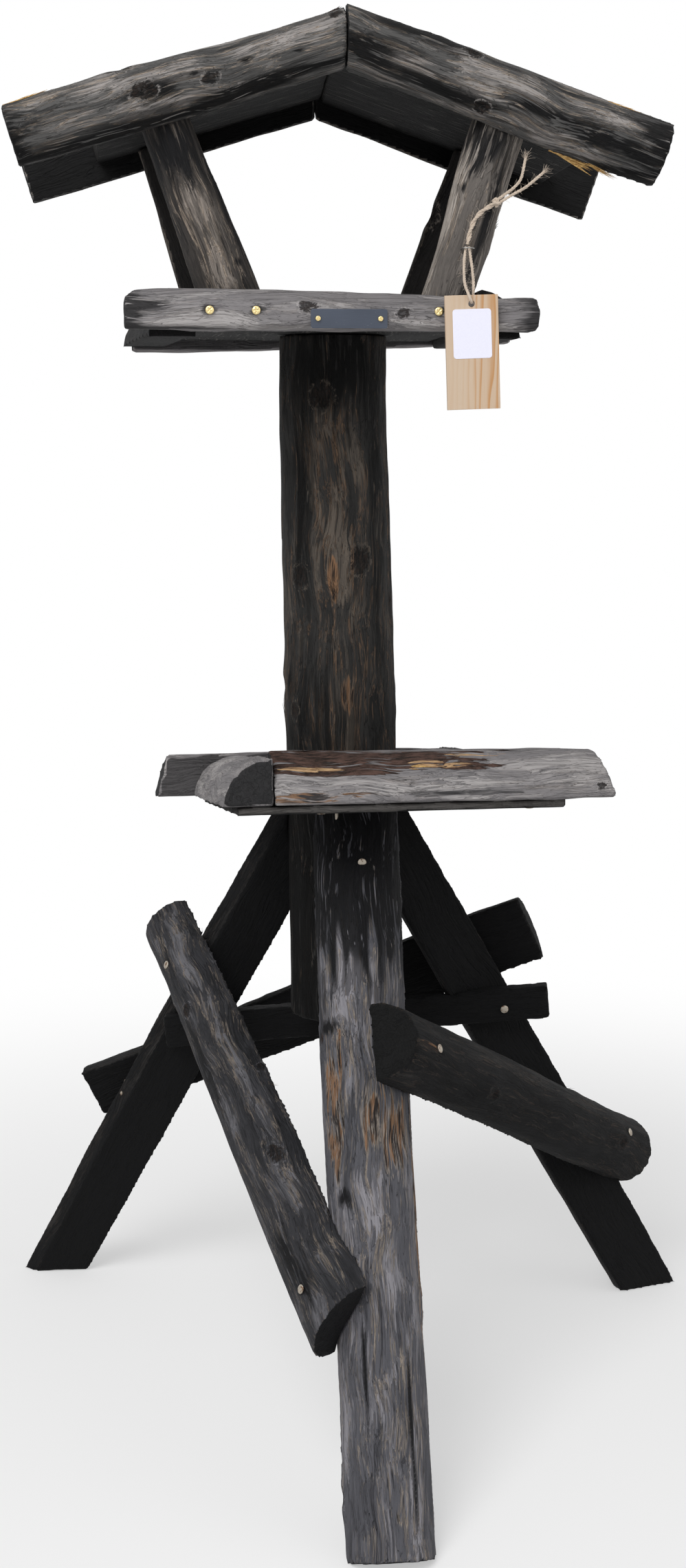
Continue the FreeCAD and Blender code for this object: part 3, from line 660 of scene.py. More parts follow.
DEEP = (20, 20, 22)
# These finishes are partly lit and shaded copies of one stained wood: paler for pieces in the light
# (roof logs, uprights, front leg, rails), darker as painted shade for the post, the right and rear
# braces, the rear legs, the batten and the upper tray's side rails. The roof's low board share
# paints its sawn inner faces nearly black as shade.
WOODS = {
    "roof": ((7, 7, 8), (84, 83, 82), (146, 141, 138), -0.04, {"board_share": 0.06}),
    "upright": (DEEP, (67, 63, 60), (142, 133, 125), -0.16, {}),
    "pale_upright": (DEEP, (98, 93, 89), (168, 160, 152), 0.14, {}),
    "rail": ((48, 47, 48), (124, 121, 122), (162, 158, 157), 0.12,
             {"ring": 0.0024, "peeled": (150, 144, 142)}),
    "post": ((10, 10, 10), (46, 45, 44), (92, 84, 76), -0.08, {"peeled": (104, 84, 68)}),
    "leg": ((12, 12, 14), (82, 82, 87), (134, 132, 137), 0.03, {"peeled": (140, 130, 120)}),
    "brace": ((16, 16, 18), (52, 52, 55), (106, 105, 109), -0.06,
              {"end": (22, 22, 23), "peeled": (126, 116, 106)}),
    "stain_and_shade": ((5, 5, 6), (18, 18, 19), (52, 50, 48), -0.16,
             {"end": (20, 20, 20), "peeled": (64, 56, 50)}),
    "charred_and_shaded": ((6, 6, 7), (20, 20, 21), (48, 46, 45), -0.04,
                {"end": (20, 20, 20), "peeled": (50, 45, 42)}),
    "board": ((14, 14, 15), (56, 55, 54), (110, 106, 103), -0.04,
              {"end": (40, 38, 37), "peeled": (96, 88, 82), "board_share": 1.0,
               "board_pale": 0.35})}
finishes = {name: wood_finish(name + "_wood", deep, body, silver, lift, **others)
            for name, (deep, body, silver, lift, others) in WOODS.items()}
print("wood finishes:", ", ".join(finishes))

# %% [markdown]
# ## Nails and screws
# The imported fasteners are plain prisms, right in place, length and thickness. Their heads show,
# so each one is turned again on the same line: a domed, slightly battered nail head, or a pan
# head with a cross recess. The place and direction are read from the prisms themselves.

# %% Find every fastener in a group
def loose_parts(mesh):
    """The separate solids of a mesh, each as a list of points."""
    shape = bmesh.new()
    shape.from_mesh(mesh)
    bmesh.ops.remove_doubles(shape, verts=shape.verts, dist=WELD)
    waiting = set(shape.verts)
    parts = []
    while waiting:
        front = [waiting.pop()]
        part = list(front)
        while front:
            for edge in front.pop().link_edges:
                for corner in edge.verts:
                    if corner in waiting:
                        waiting.remove(corner)
                        front.append(corner)
                        part.append(corner)
        parts.append([corner.co.copy() for corner in part])
    shape.free()
    return parts


def driven_at(points):
    """Middle of the head's face, the direction it was driven in, its length and head radius."""
    cloud = np.array(points)
    middle = cloud.mean(0)
    along = np.linalg.svd(cloud - middle)[2][0]
    reach = (cloud - middle) @ along
    ends = []
    for sign in (1, -1):
        near = cloud[sign * reach > (sign * reach).max() - 0.0001]
        centre = near.mean(0)
        ends.append((np.linalg.norm(near - centre, axis=1).max(), centre, -sign * along))
    radius, centre, inward = max(ends, key=lambda end: end[0])
    return Vector(centre), Vector(inward), float(reach.max() - reach.min()), float(radius)


FASTENER_GROUPS = [name for name in nodes if name.endswith(("_nails", "_screws"))]
fasteners = {name: sorted((driven_at(part) for part in loose_parts(nodes[name].data)),
                          key=lambda found: tuple(found[0])) for name in FASTENER_GROUPS}
print({name: len(found) for name, found in fasteners.items()})

# %% Finishes for steel and brass
def metal_finish(name, clean, stained, roughness, stain_share, metallic):
    """Bare metal with stains that gather in soft spots."""
    finish, tree, surface = new_finish(name)
    spots = object_cloud(tree, (420, 420, 420), 4.0, 0.6)
    scratches = object_cloud(tree, (300, 300, 2600), 2.0, 0.6)
    stains = band(tree, spots, 0.62 - stain_share, 0.78 - stain_share)
    rough = sum_of(tree, roughness, (stains, 0.3), (scratches, 0.15))
    height = sum_of(tree, (scratches, 0.00006), (spots, 0.0001))
    dress(tree, surface, blend(tree, stains, clean, stained), rough, height, 0.6)
    set_inputs(surface, Metallic=metallic)
    return finish


nail_finish = metal_finish("dull_steel", colour(168, 160, 148), colour(112, 84, 62),
                           roughness=0.42, stain_share=0.12, metallic=0.85)
brass_finish = metal_finish("bright_brass", colour(226, 205, 150), colour(168, 134, 78),
                            roughness=0.28, stain_share=0.02, metallic=0.8)
wire_finish = metal_finish("staple_wire", colour(150, 148, 145), colour(96, 84, 74),
                           roughness=0.4, stain_share=0.06, metallic=0.85)
print("metals:", ", ".join(metal.name for metal in (nail_finish, brass_finish, wire_finish)))

# %% Turn the heads again
HEAD_SIDES = 32
NAIL_PROFILE = ((0.0, -0.0003), (0.35, -0.00028), (0.7, -0.00012), (0.92, 0.00015), (1.0, 0.0005),
                (0.94, 0.0011), (0.6, 0.0016))
SCREW_PROFILE = ((0.0, -0.0006), (0.14, -0.0006), (0.28, -0.00058), (0.42, -0.00054),
                 (0.56, -0.00046), (0.7, -0.0003), (0.85, -0.00005), (0.96, 0.0003), (1.0, 0.0007),
                 (0.9, 0.0014), (0.62, 0.0017))
RECESS_REACH = 0.6
RECESS_HALF_WIDTH = 0.13
RECESS_DEPTH = 0.0008
POINT_LENGTH = 0.005
NAIL_SHANK, PLATE_SHANK = 0.0017, 0.0010


def add_fastener(shape, found, profile, shank, recess, spin):
    """Turns one nail or screw on its own line, down to its point."""
    centre, inward, length, radius = found
    first = inward.orthogonal().normalized()
    second = inward.cross(first)
    rings = [(share * radius, depth, share) for share, depth in profile]
    rings += [(shank, profile[-1][1] + 0.0003, 2), (shank, length - POINT_LENGTH, 2)]
    before = None
    for size, depth, share in rings:
        ring = []
        for side in range(HEAD_SIDES):
            angle = spin + 2 * math.pi * side / HEAD_SIDES
            x, y = share * math.cos(angle - spin), share * math.sin(angle - spin)
            slot = min(abs(x), abs(y)) < RECESS_HALF_WIDTH and share < RECESS_REACH
            sink = RECESS_DEPTH if recess and slot else 0.0
            across = first * math.cos(angle) + second * math.sin(angle)
            ring.append(shape.verts.new(centre + across * size + inward * (depth + sink)))
        if before:
            join_rings(shape, before, ring)
        before = ring
    tip = shape.verts.new(centre + inward * length)
    for side in range(HEAD_SIDES):
        shape.faces.new((before[side], before[(side + 1) % HEAD_SIDES], tip))
    bmesh.ops.remove_doubles(shape, verts=shape.verts, dist=0.001 * MM)


fastener_draw = random.Random(5)
for name, group in fasteners.items():
    shape = bmesh.new()
    brass = name.endswith("_screws")
    for found in group:
        add_fastener(shape, found, SCREW_PROFILE if brass else NAIL_PROFILE,
                     PLATE_SHANK if name == "plate_screws" else NAIL_SHANK, brass,
                     fastener_draw.uniform(0, math.pi))
    mesh = finish_mesh(name, shape)
    mesh.materials.append(brass_finish if brass else nail_finish)
    piece = place_mesh(name + "_turned", mesh, "table")
    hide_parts(name)
print("fasteners turned:", sum(len(group) for group in fasteners.values()))

# %% [markdown]
# ## The nails of the roof
# How the roof is held can't be seen in the photograph. One nail through the board into each
# upright is the usual way. The heads could be set by hand, but a line dropped from above each
# place gives the height and the slope of the roof there, so every head lies flush.

# %% Nail the roof down
ROOF_NAIL_PLACES = ((-0.162, -0.122), (0.131, -0.122), (-0.164, 0.121), (0.143, 0.121))
ROOF_NAIL_LENGTH, ROOF_NAIL_HEAD = 0.060, 0.0035
ABOVE_THE_ROOF = 1.5
ROOF_PIECES = [name for name in nodes if name.startswith("roof_")]
graph = bpy.context.evaluated_depsgraph_get()
roof_skins = {name: BVHTree.FromObject(nodes[name], graph) for name in ROOF_PIECES}
shape = bmesh.new()
for x, y in ROOF_NAIL_PLACES:
    above = from_post(x, y, ABOVE_THE_ROOF)
    hits = [(skin.ray_cast(above, Vector((0, 0, -1))), name) for name, skin in roof_skins.items()]
    (spot, slope, _, _), name = max((hit for hit in hits if hit[0][0]), key=lambda hit: hit[0][0].z)
    add_fastener(shape, (spot, -slope, ROOF_NAIL_LENGTH, ROOF_NAIL_HEAD), NAIL_PROFILE, NAIL_SHANK,
                 False, 0.0)
    print("roof nail on", name, "at", [round(value, 3) for value in spot])
mesh = finish_mesh("roof_nails", shape)
mesh.materials.append(nail_finish)
place_mesh("roof_nails", mesh, "table")

# %% [markdown]
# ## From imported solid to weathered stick
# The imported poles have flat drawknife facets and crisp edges. Subdividing them would keep the
# long thin faces. A voxel remesh gives an even skin of small squares instead, which also
# rounds the sawn edges as weather does. Then every point is moved in or out a little along its
# normal, by noise that is much longer along the grain than across it.

# %% An even skin over a node
VOXEL = 0.0028


def even_skin(name):
    """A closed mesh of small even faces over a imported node."""
    source = nodes[name].data.copy()
    shape = bmesh.new()
    shape.from_mesh(source)
    bmesh.ops.remove_doubles(shape, verts=shape.verts, dist=WELD)
    shape.to_mesh(source)
    shape.free()
    carrier = bpy.data.objects.new("carrier", source)
    scene.collection.objects.link(carrier)
    remesh = carrier.modifiers.new("even", "REMESH")
    remesh.mode = "VOXEL"
    remesh.voxel_size = VOXEL
    graph = bpy.context.evaluated_depsgraph_get()
    mesh = bpy.data.meshes.new_from_object(carrier.evaluated_get(graph))
    bpy.data.objects.remove(carrier)
    return mesh


def values_of(mesh, field):
    """A vertex field of a mesh as an array of rows."""
    values = np.zeros(len(mesh.vertices) * 3, np.float32)
    mesh.vertices.foreach_get(field, values)
    return values.reshape(-1, 3).astype(float)


def smooth_share(values, low, high):
    """0 below low, 1 above high, smooth between."""
    share = np.clip((values - low) / (high - low), 0, 1)
    return share * share * (3 - 2 * share)


def noise_at(grain, along, across, offset):
    """Noise at grain places, with lumps of the given length and width."""
    scaled = grain / (along, across, across) + (offset, 1.7 * offset, 0.3 * offset)
    return np.array([noise.noise(point) for point in scaled.tolist()])


print("skins are built of faces %.1f mm wide" % (VOXEL / MM))

# %% [markdown]
# ## Where the grain runs
# Rings are measured from the heart of the tree. A half pole keeps the heart on its sawn face, a
# quarter pole on its inner corner, and a board comes from somewhere in between. So each piece
# of wood is described by the side its bark was on, where its flat faces are, and its finish.
# The grain runs the long way of a stick. Only for the wide boards is its direction written down.

# %% The pieces of wood
HALF, QUARTER, BOARD = 0.85, 0.6, -2.0
RIGHT, FRONT, REAR, TOP = (1, 0, 0), (0, -1, 0), (0, 1, 0), (0, 0, 1)
TIMBERS = {
    "post": (FRONT, HALF, "post", None),
    "front_leg": ((0, -0.81, 0.59), HALF, "leg", None),
    "left_leg": ((0, 0.95, 0.30), HALF, "charred_and_shaded", None),
    "right_leg": ((-0.30, 0.95, -0.06), HALF, "charred_and_shaded", None),
    "left_brace": ((-0.86, -0.41, 0.31), HALF, "brace", None),
    "right_brace": ((0.81, -0.48, 0.34), HALF, "stain_and_shade", None),
    "rear_brace": ((0.17, 0.96, 0.21), HALF, "charred_and_shaded", None),
    "cross_batten": (FRONT, BOARD, "charred_and_shaded", None),
    "front_left_upright": (FRONT, HALF, "upright", None),
    "front_right_upright": (FRONT, HALF, "pale_upright", None),
    "rear_left_upright": (REAR, HALF, "upright", None),
    "rear_right_upright": (REAR, HALF, "upright", None),
    "roof_front_left_log": (FRONT, HALF, "roof", None),
    "roof_front_right_log": (FRONT, HALF, "roof", None),
    "roof_rear_left_log": (REAR, HALF, "roof", None),
    "roof_rear_right_log": (REAR, HALF, "roof", None),
    "roof_left_board": (TOP, BOARD, "board", (1, 0, 0.3)),
    "roof_right_board": (TOP, BOARD, "board", (1, 0, -0.3)),
    "upper_floor_board": (TOP, BOARD, "board", REAR),
    "lower_floor_front_board": (TOP, BOARD, "board", RIGHT),
    "lower_floor_rear_board": (TOP, BOARD, "board", RIGHT),
    "upper_front_rail": (FRONT, HALF, "rail", None),
    "upper_rear_rail": (REAR, HALF, "rail", None),
    "upper_left_rail": ((-1, 0, 1), QUARTER, "charred_and_shaded", None),
    "upper_right_rail": ((1, 0, 1), QUARTER, "charred_and_shaded", None),
    "lower_front_rail": ((0, -1, 1), QUARTER, "rail", None),
    "lower_rear_rail": ((0, 1, 1), QUARTER, "rail", None),
    "lower_left_rail": ((-1, 0, 1), QUARTER, "rail", None),
    "lower_right_rail": ((1, 0, 1), QUARTER, "rail", None)}
print(len(TIMBERS), "pieces of wood")


def grain_frame(points, outward, along=None):
    """Three directions of a stick: along the grain, across it and out to the bark."""
    if along is None:
        along = np.linalg.svd(points - points.mean(0), full_matrices=False)[2][0]
    along = np.array(along, float) / np.linalg.norm(along)
    outward = np.array(outward, float)
    outward = outward - along * (outward @ along)
    outward = outward / np.linalg.norm(outward)
    return along, np.cross(outward, along), outward


def grain_places(points, directions, heart_depth):
    """How far each point is along the grain, across it, and out from the heart."""
    places = (points - points.mean(0)) @ np.array(directions).T
    places[:, 1] -= (places[:, 1].min() + places[:, 1].max()) / 2
    places[:, 2] += heart_depth - places[:, 2].min()
    return places


# %% [markdown]
# ## Marks that one sees in the photograph
# Knots, washed patches, bark that was left on and torn raw wood each have a place. Each mark is
# a pixel of the photograph, and a line of sight through that pixel finds its spot on the wood.
# So the mark sits on the piece, and is right from every side. Where the line just misses the
# piece, the nearest point of it is taken. Sizes are half lengths along and across the grain in
# millimetres.

# %% The marks, as pixel x, pixel y, half length and half width
# The large dark marks are painted shadow and painted shade: the tops of the front leg, the post and
# the two front uprights under what stands over them, the post below the lower tray, the lower edges
# of the front roof logs, and the shaded ends of the logs and the upper front rail. The small dark
# marks are thin dark streaks.
MARKS = {
    "roof_front_left_log": {
        "knot": ((208, 130, 12, 9), (308, 113, 8, 6), (490, 20, 8, 5)),
        "dark": ((286, 105, 6, 2), (351, 87, 6, 2), (431, 72, 6, 2), (190, 190, 150, 13),
                 (400, 112, 60, 7), (240, 128, 34, 8), (18, 215, 20, 40)),
        "peel": ((120, 140, 60, 9), (250, 104, 60, 7), (380, 72, 50, 7), (290, 138, 32, 6),
                 (160, 165, 26, 5), (235, 160, 26, 4))},
    "roof_front_right_log": {
        "knot": ((689, 79, 9, 6), (700, 155, 8, 6)),
        "dark": ((545, 75, 40, 14), (860, 195, 60, 12), (640, 128, 80, 9), (620, 50, 60, 10),
                 (962, 232, 30, 60), (905, 262, 60, 14)),
        "peel": ((560, 45, 30, 6), (740, 118, 45, 7), (640, 105, 50, 6), (840, 160, 40, 7),
                 (790, 190, 30, 5))},
    "front_left_upright": {
        "peel": ((303, 318, 38, 3.0), (318, 408, 20, 5), (345, 395, 14, 4), (266, 300, 34, 3)),
        "dark": ((250, 215, 34, 30), (347, 380, 5, 4), (322, 290, 50, 6))},
    "front_right_upright": {
        "peel": ((640, 345, 60, 7), (676, 262, 30, 5), (655, 300, 50, 9)),
        "dark": ((706, 205, 24, 28), (706, 330, 70, 6), (673, 270, 5, 4))},
    "upper_front_rail": {
        "knot": ((449, 445, 9, 6), (590, 456, 7, 5)),
        "dark": ((240, 478, 60, 3), (190, 440, 22, 8), (185, 460, 12, 40), (788, 462, 14, 40)),
        "peel": ((330, 465, 60, 6), (640, 478, 50, 5))},
    "lower_front_rail": {
        "bark": ((450, 1100, 62, 13), (560, 1103, 62, 11), (640, 1106, 36, 8), (500, 1120, 50, 4)),
        "fresh": ((450, 1121, 22, 2.2), (628, 1112, 20, 3.5), (690, 1097, 26, 2.2)),
        "rust": ((440, 1162, 40, 4),),
        "dark": ((650, 1152, 60, 2),),
        "peel": ((500, 1143, 60, 6), (760, 1130, 70, 8)),
        "knot": ((876, 1142, 5, 4),)},
    "lower_left_rail": {
        "peel": ((320, 1110, 26, 12), (300, 1145, 26, 8))},
    "post": {
        "knot": ((469, 578, 13, 12), (438, 834, 12, 10), (524, 816, 14, 11), (430, 1035, 9, 7)),
        "peel": ((480, 700, 60, 12), (499, 1033, 50, 20), (420, 975, 26, 10), (505, 1020, 70, 9),
                 (470, 640, 60, 11), (500, 860, 60, 9)),
        "rust": ((484, 836, 16, 4), (505, 1010, 14, 5)),
        "dark": ((485, 540, 40, 60), (445, 1240, 140, 60), (440, 1400, 130, 60), (440, 700, 90, 10),
                 (545, 680, 120, 10))},
    "front_leg": {
        "dark": ((520, 1195, 100, 110), (515, 1275, 85, 110), (515, 1325, 50, 110),
                 (475, 1496, 7, 16), (500, 1738, 7, 8), (530, 1990, 40, 2), (600, 2080, 50, 2.5),
                 (497, 1600, 30, 3), (572, 1612, 20, 5), (598, 1650, 30, 3)),
        "peel": ((500, 1385, 34, 12), (540, 1420, 30, 10), (495, 1460, 34, 14), (525, 1540, 50, 9),
                 (530, 1760, 60, 9), (560, 1900, 80, 9), (570, 2050, 90, 10), (610, 2160, 60, 7)),
        "rust": ((488, 1590, 38, 10), (484, 1652, 26, 7), (540, 1622, 20, 8), (575, 1640, 34, 13),
                 (602, 1700, 46, 8), (612, 1800, 60, 5))},
    "left_brace": {
        "knot": ((402, 1677, 12, 9), (270, 1470, 9, 7), (380, 1552, 6, 5)),
        "peel": ((325, 1502, 24, 5), (350, 1560, 30, 5), (358, 1590, 20, 5), (385, 1632, 20, 9),
                 (280, 1420, 50, 6), (440, 1745, 40, 6), (475, 1815, 40, 6), (236, 1380, 16, 6)),
        "dark": ((300, 1560, 60, 8), (430, 1850, 34, 12))},
    "right_brace": {
        "rust": ((625, 1520, 14, 4),),
        "peel": ((650, 1570, 22, 4), (612, 1545, 14, 3), (760, 1560, 50, 4), (860, 1612, 40, 6)),
        "knot": ((905, 1660, 12, 9), (720, 1590, 9, 7)),
        "dark": ((690, 1600, 70, 16),)},
    "lower_right_rail": {
        "peel": ((870, 1098, 20, 8),)}}
print(sum(len(rows) for kinds in MARKS.values() for rows in kinds.values()), "marks on",
      len(MARKS), "pieces")

# %% Find the spot that a pixel shows
EDGE_SEARCH = [1.5 + 0.01 * index for index in range(100)]
FAR_OFF = 0.012


def touched(skin, x, y):
    """Where the line of sight meets the skin, or comes nearest to it, and the normal there."""
    spot, normal = skin.ray_cast(eye, sight(x, y))[:2]
    if spot:
        return spot, normal
    near = [skin.find_nearest(eye + sight(x, y) * reach) for reach in EDGE_SEARCH]
    spot, normal, _, apart = min(near, key=lambda found: found[3])
    if apart > FAR_OFF:
        print("pixel", x, y, "is %.0f mm off the wood" % (apart / MM))
    return spot, normal


print("a search along a line of sight looks at", len(EDGE_SEARCH), "places")

# %% Lay the marks on the wood
KINDS = ("peel", "dark", "rust", "bark", "fresh")
HIDDEN_KNOT_EVERY = 0.16
HIDDEN_KNOT_SIZES = (0.006, 0.012)
KNOT_STRETCH = 1.4
HEAD_REACH = 0.005
STAIN_LONG, STAIN_WIDE = 1.5, 1.45
knot_draw = random.Random(23)


def mark_distance(grain, centre, half_long, half_wide, tear):
    """How far each point is from a mark's middle, 1 at its edge. Tear slides it along."""
    apart = grain - centre
    return np.sqrt(((apart[:, 0] + tear * half_long) / half_long) ** 2
                   + (apart[:, 1] ** 2 + apart[:, 2] ** 2) / half_wide ** 2)


def nearest_place(points, grain, spot):
    """The grain place of the point that lies nearest to a spot."""
    return grain[np.argmin(((points - np.array(spot)) ** 2).sum(1))]


def seen_marks(name, skin, points, grain):
    """The photograph's marks on one piece: kind, middle and half sizes."""
    found = []
    for kind, rows in MARKS.get(name, {}).items():
        for x, y, half_long, half_wide in rows:
            middle = nearest_place(points, grain, touched(skin, x, y)[0])
            found.append((kind, middle, half_long * MM, half_wide * MM))
    return found


def fastener_marks(skin, points, grain):
    """A dark ring round each head that sits on this piece."""
    found = []
    for group, heads in fasteners.items():
        for centre, inward, _, radius in heads:
            spot = skin.find_nearest(centre + inward * MM)[0]
            if (spot - centre).length < HEAD_REACH:
                middle = nearest_place(points, grain, spot)
                found.append(("dark", middle, radius * STAIN_LONG, radius * STAIN_WIDE))
    return found


def hidden_knots(points, normals, grain, bark_side):
    """Knots on the bark side where the photograph can't see it."""
    away = ((np.array(eye) - points) * normals).sum(1) < 0
    choice = np.flatnonzero(away & bark_side)
    length = grain[:, 0].max() - grain[:, 0].min()
    found = []
    for _ in range(int(length / HIDDEN_KNOT_EVERY) if len(choice) else 0):
        size = knot_draw.uniform(*HIDDEN_KNOT_SIZES)
        middle = grain[choice[knot_draw.randrange(len(choice))]]
        found.append(("knot", middle, size * KNOT_STRETCH, size))
    return found


# %% Turn marks into fields over the skin
FINGER_LENGTH, FINGER_WIDTH = 0.06, 0.006
KNOT_PUSH = 0.006
KNOT_SWELL, KNOT_PIT = 0.0020, 0.0030


def hash_of(name):
    """A number of its own for each name, the same on every run."""
    return sum((index + 1) * ord(letter) for index, letter in enumerate(name)) % 97


def mark_fields(name, grain, marks):
    """How strong each kind of mark is at each point, and how far knots push the layers."""
    fields = {field: np.zeros(len(grain)) for field in (*KINDS, "knot", "warp")}
    relief = np.zeros(len(grain))
    tear = 1.1 * noise_at(grain, FINGER_LENGTH, FINGER_WIDTH, hash_of(name) + 3)
    for kind, middle, half_long, half_wide in marks:
        slide = tear * (0.35 if kind == "knot" else 1)
        distance = mark_distance(grain, middle, half_long, half_wide, slide)
        if kind == "knot":
            fields["knot"] = np.maximum(fields["knot"], np.exp(-1.2 * distance ** 2))
            fields["warp"] += KNOT_PUSH * np.exp(-(distance / 2.2) ** 2)
            relief += (KNOT_SWELL * np.exp(-(distance / 1.3) ** 2)
                       - KNOT_PIT * np.exp(-(distance / 0.5) ** 2))
        else:
            fields[kind] = np.maximum(fields[kind], np.clip(1.15 - 0.6 * distance, 0, 1))
    return fields, relief


def add_field(mesh, field, values, kind="FLOAT", key="value"):
    """Stores a field on the points of a mesh, where the finish can read it."""
    attribute = mesh.attributes.new(field, kind, "POINT")
    attribute.data.foreach_set(key, values.astype(np.float32).ravel())


print("kinds of mark:", ", ".join(KINDS), "and knot")

# %% Weather every piece of wood
BOARD_HEART = 0.05
LONG_WAVE, SHORT_WAVE, END_WAVE = 0.0012, 0.0007, 0.0005
BARK_THICKNESS = 0.0014
WORN_AWAY = 0.0004


def weathered(name):
    """Builds the skin of one stick, moves its points and paints its marks."""
    outward, flat_limit, finish, along = TIMBERS[name]
    mesh = even_skin(name)
    points, normals = values_of(mesh, "co"), values_of(mesh, "normal")
    directions = grain_frame(points, outward, along)
    grain = grain_places(points, directions, BOARD_HEART if flat_limit == BOARD else 0.0)
    cut = smooth_share(np.abs(normals @ directions[0]), 0.62, 0.86)
    inward = -(normals @ directions[2])
    sawn = smooth_share(inward, flat_limit - 0.15, flat_limit)
    skin = BVHTree.FromPolygons(points.tolist(), [face.vertices for face in mesh.polygons])
    marks = seen_marks(name, skin, points, grain) + fastener_marks(skin, points, grain)
    marks += hidden_knots(points, normals, grain, (cut < 0.1) & (sawn < 0.1))
    fields, relief = mark_fields(name, grain, marks)
    # Boards get painted shade on their undersides: the dark field rises where a face turns
    # downwards.
    if flat_limit == BOARD:
        fields["dark"] = np.maximum(fields["dark"], smooth_share(inward, 0.3, 0.8))
    tile = hash_of(name)
    bark_side = 1 - 0.75 * np.maximum(cut, sawn)
    move = bark_side * (LONG_WAVE * noise_at(grain, 0.10, 0.030, tile)
                        + SHORT_WAVE * noise_at(grain, 0.028, 0.009, tile + 5))
    move += bark_side * relief + BARK_THICKNESS * fields["bark"] * (1 - cut) - WORN_AWAY
    move += END_WAVE * cut * noise_at(grain, 0.02, 0.006, tile + 9)
    points = points + normals * move[:, None]
    mesh.vertices.foreach_set("co", points.astype(np.float32).ravel())
    add_field(mesh, "grain", grain + (tile * 0.37, 0, 0), "FLOAT_VECTOR", "vector")
    for field, values in dict(fields, cut=cut, sawn=sawn).items():
        add_field(mesh, field, values)
    mesh.polygons.foreach_set("use_smooth", [True] * len(mesh.polygons))
    mesh.materials.clear()
    mesh.materials.append(finishes[finish])
    mesh.update()
    return mesh


face_count = 0
for name in TIMBERS:
    piece = place_mesh(name + "_wood", weathered(name), "table")
    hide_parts(name)
    face_count += len(piece.data.polygons)
print("faces of wood:", face_count)

# %% [markdown]
# ## Torn slivers and loose bark
# Peeling leaves long slivers that stand off the wood: raw and yellow where an edge was torn,
# black where a strip of bark hung on. They could be painted, but they break the outline, so they
# are meshes. Each one is a thin blade that leaves the surface at a spot found by a line of sight,
# and curls away from it. A bundle of blades of different lengths looks torn.

# %% The slivers: heading in the photograph, length, width, lift in millimetres, and number
SLIVERS = {
    "fresh": [
        ("roof_front_left_log", (14, 148), (1.0, -0.30), 34, 3.0, 1.5, 9),
        ("roof_front_left_log", (44, 138), (1.0, -0.28), 18, 2.0, 1.0, 6),
        ("roof_front_right_log", (892, 148), (1.0, 0.30), 28, 3.0, 1.5, 9),
        ("roof_front_right_log", (808, 234), (1.0, 0.42), 46, 3.4, 1.5, 12),
        ("roof_front_right_log", (846, 250), (1.0, 0.40), 34, 3.0, 3.0, 9),
        ("lower_front_rail", (596, 1115), (1.0, -0.16), 22, 2.0, 1.5, 8)],
    "bark": [
        ("roof_front_left_log", (478, 16), (1.0, -0.45), 14, 4.0, 2.0, 4),
        ("lower_front_rail", (712, 1091), (1.0, -0.02), 34, 2.6, 1.2, 5),
        ("lower_front_rail", (420, 1092), (1.0, 0.0), 30, 3.0, 1.0, 5),
        ("post", (414, 1060), (-0.12, -1.0), 40, 2.2, 3.0, 6),
        ("post", (566, 880), (0.25, -1.0), 14, 1.8, 3.0, 4),
        ("front_right_upright", (722, 330), (0.5, -1.0), 7, 2.2, 4.0, 6),
        ("left_brace", (392, 1575), (0.8, 0.5), 10, 0.8, 5.0, 4),
        ("left_brace", (300, 1345), (0.6, -0.8), 10, 0.8, 4.0, 3),
        ("right_brace", (832, 1560), (0.8, -0.5), 9, 0.8, 4.0, 4),
        ("front_leg", (470, 1500), (0.2, 1.0), 16, 2.4, 1.5, 5)]}
print("bundles of slivers:", {kind: len(rows) for kind, rows in SLIVERS.items()})

# %% The finish of split wood
def sliver_finish(name, pale, dark):
    """Split wood: pale and dark fibres side by side."""
    finish, tree, surface = new_finish(name)
    split = object_cloud(tree, (260, 900, 700), 4.0, 0.65)
    paint = blend(tree, band(tree, split, 0.36, 0.62), dark, pale)
    dress(tree, surface, paint, sum_of(tree, 0.6, (split, 0.3)), sum_of(tree, (split, 0.0005)), 0.8)
    set_inputs(surface, Specular_IOR_Level=0.2)
    return finish


sliver_finishes = {
    "fresh": sliver_finish("raw_splinter", colour(206, 172, 112), colour(150, 112, 66)),
    "bark": sliver_finish("bark_splinter", colour(58, 46, 40), colour(20, 17, 16))}
print("split wood is", " or ".join(sliver_finishes))

# %% Set the slivers on the wood
BLADE_STEPS = 7
BLADE_TIP = 0.06
BLADE_THICKNESS = 0.45
ROOT_SHARE = 0.12
ROOT_SINK = 0.0004
sliver_draw = random.Random(31)


def add_blade(shape, root, along, outward, length, width, lift):
    """A thin blade, widest near its root, that curls off the wood."""
    across = along.cross(outward).normalized()
    before = None
    for index in range(BLADE_STEPS + 1):
        share = index / BLADE_STEPS
        middle = (root + along * (length * (share - ROOT_SHARE))
                  + outward * (lift * share * share - ROOT_SINK * (1 - share)))
        half = width / 2 * max(BLADE_TIP, math.sin(math.pi * min(0.5 + share * 0.5, 1.0)) ** 0.7)
        thick = half * BLADE_THICKNESS
        ring = [shape.verts.new(middle + across * half), shape.verts.new(middle + outward * thick),
                shape.verts.new(middle - across * half), shape.verts.new(middle - outward * thick)]
        if before:
            join_rings(shape, before, ring)
        else:
            shape.faces.new(ring[::-1])
        before = ring
    shape.faces.new(before)


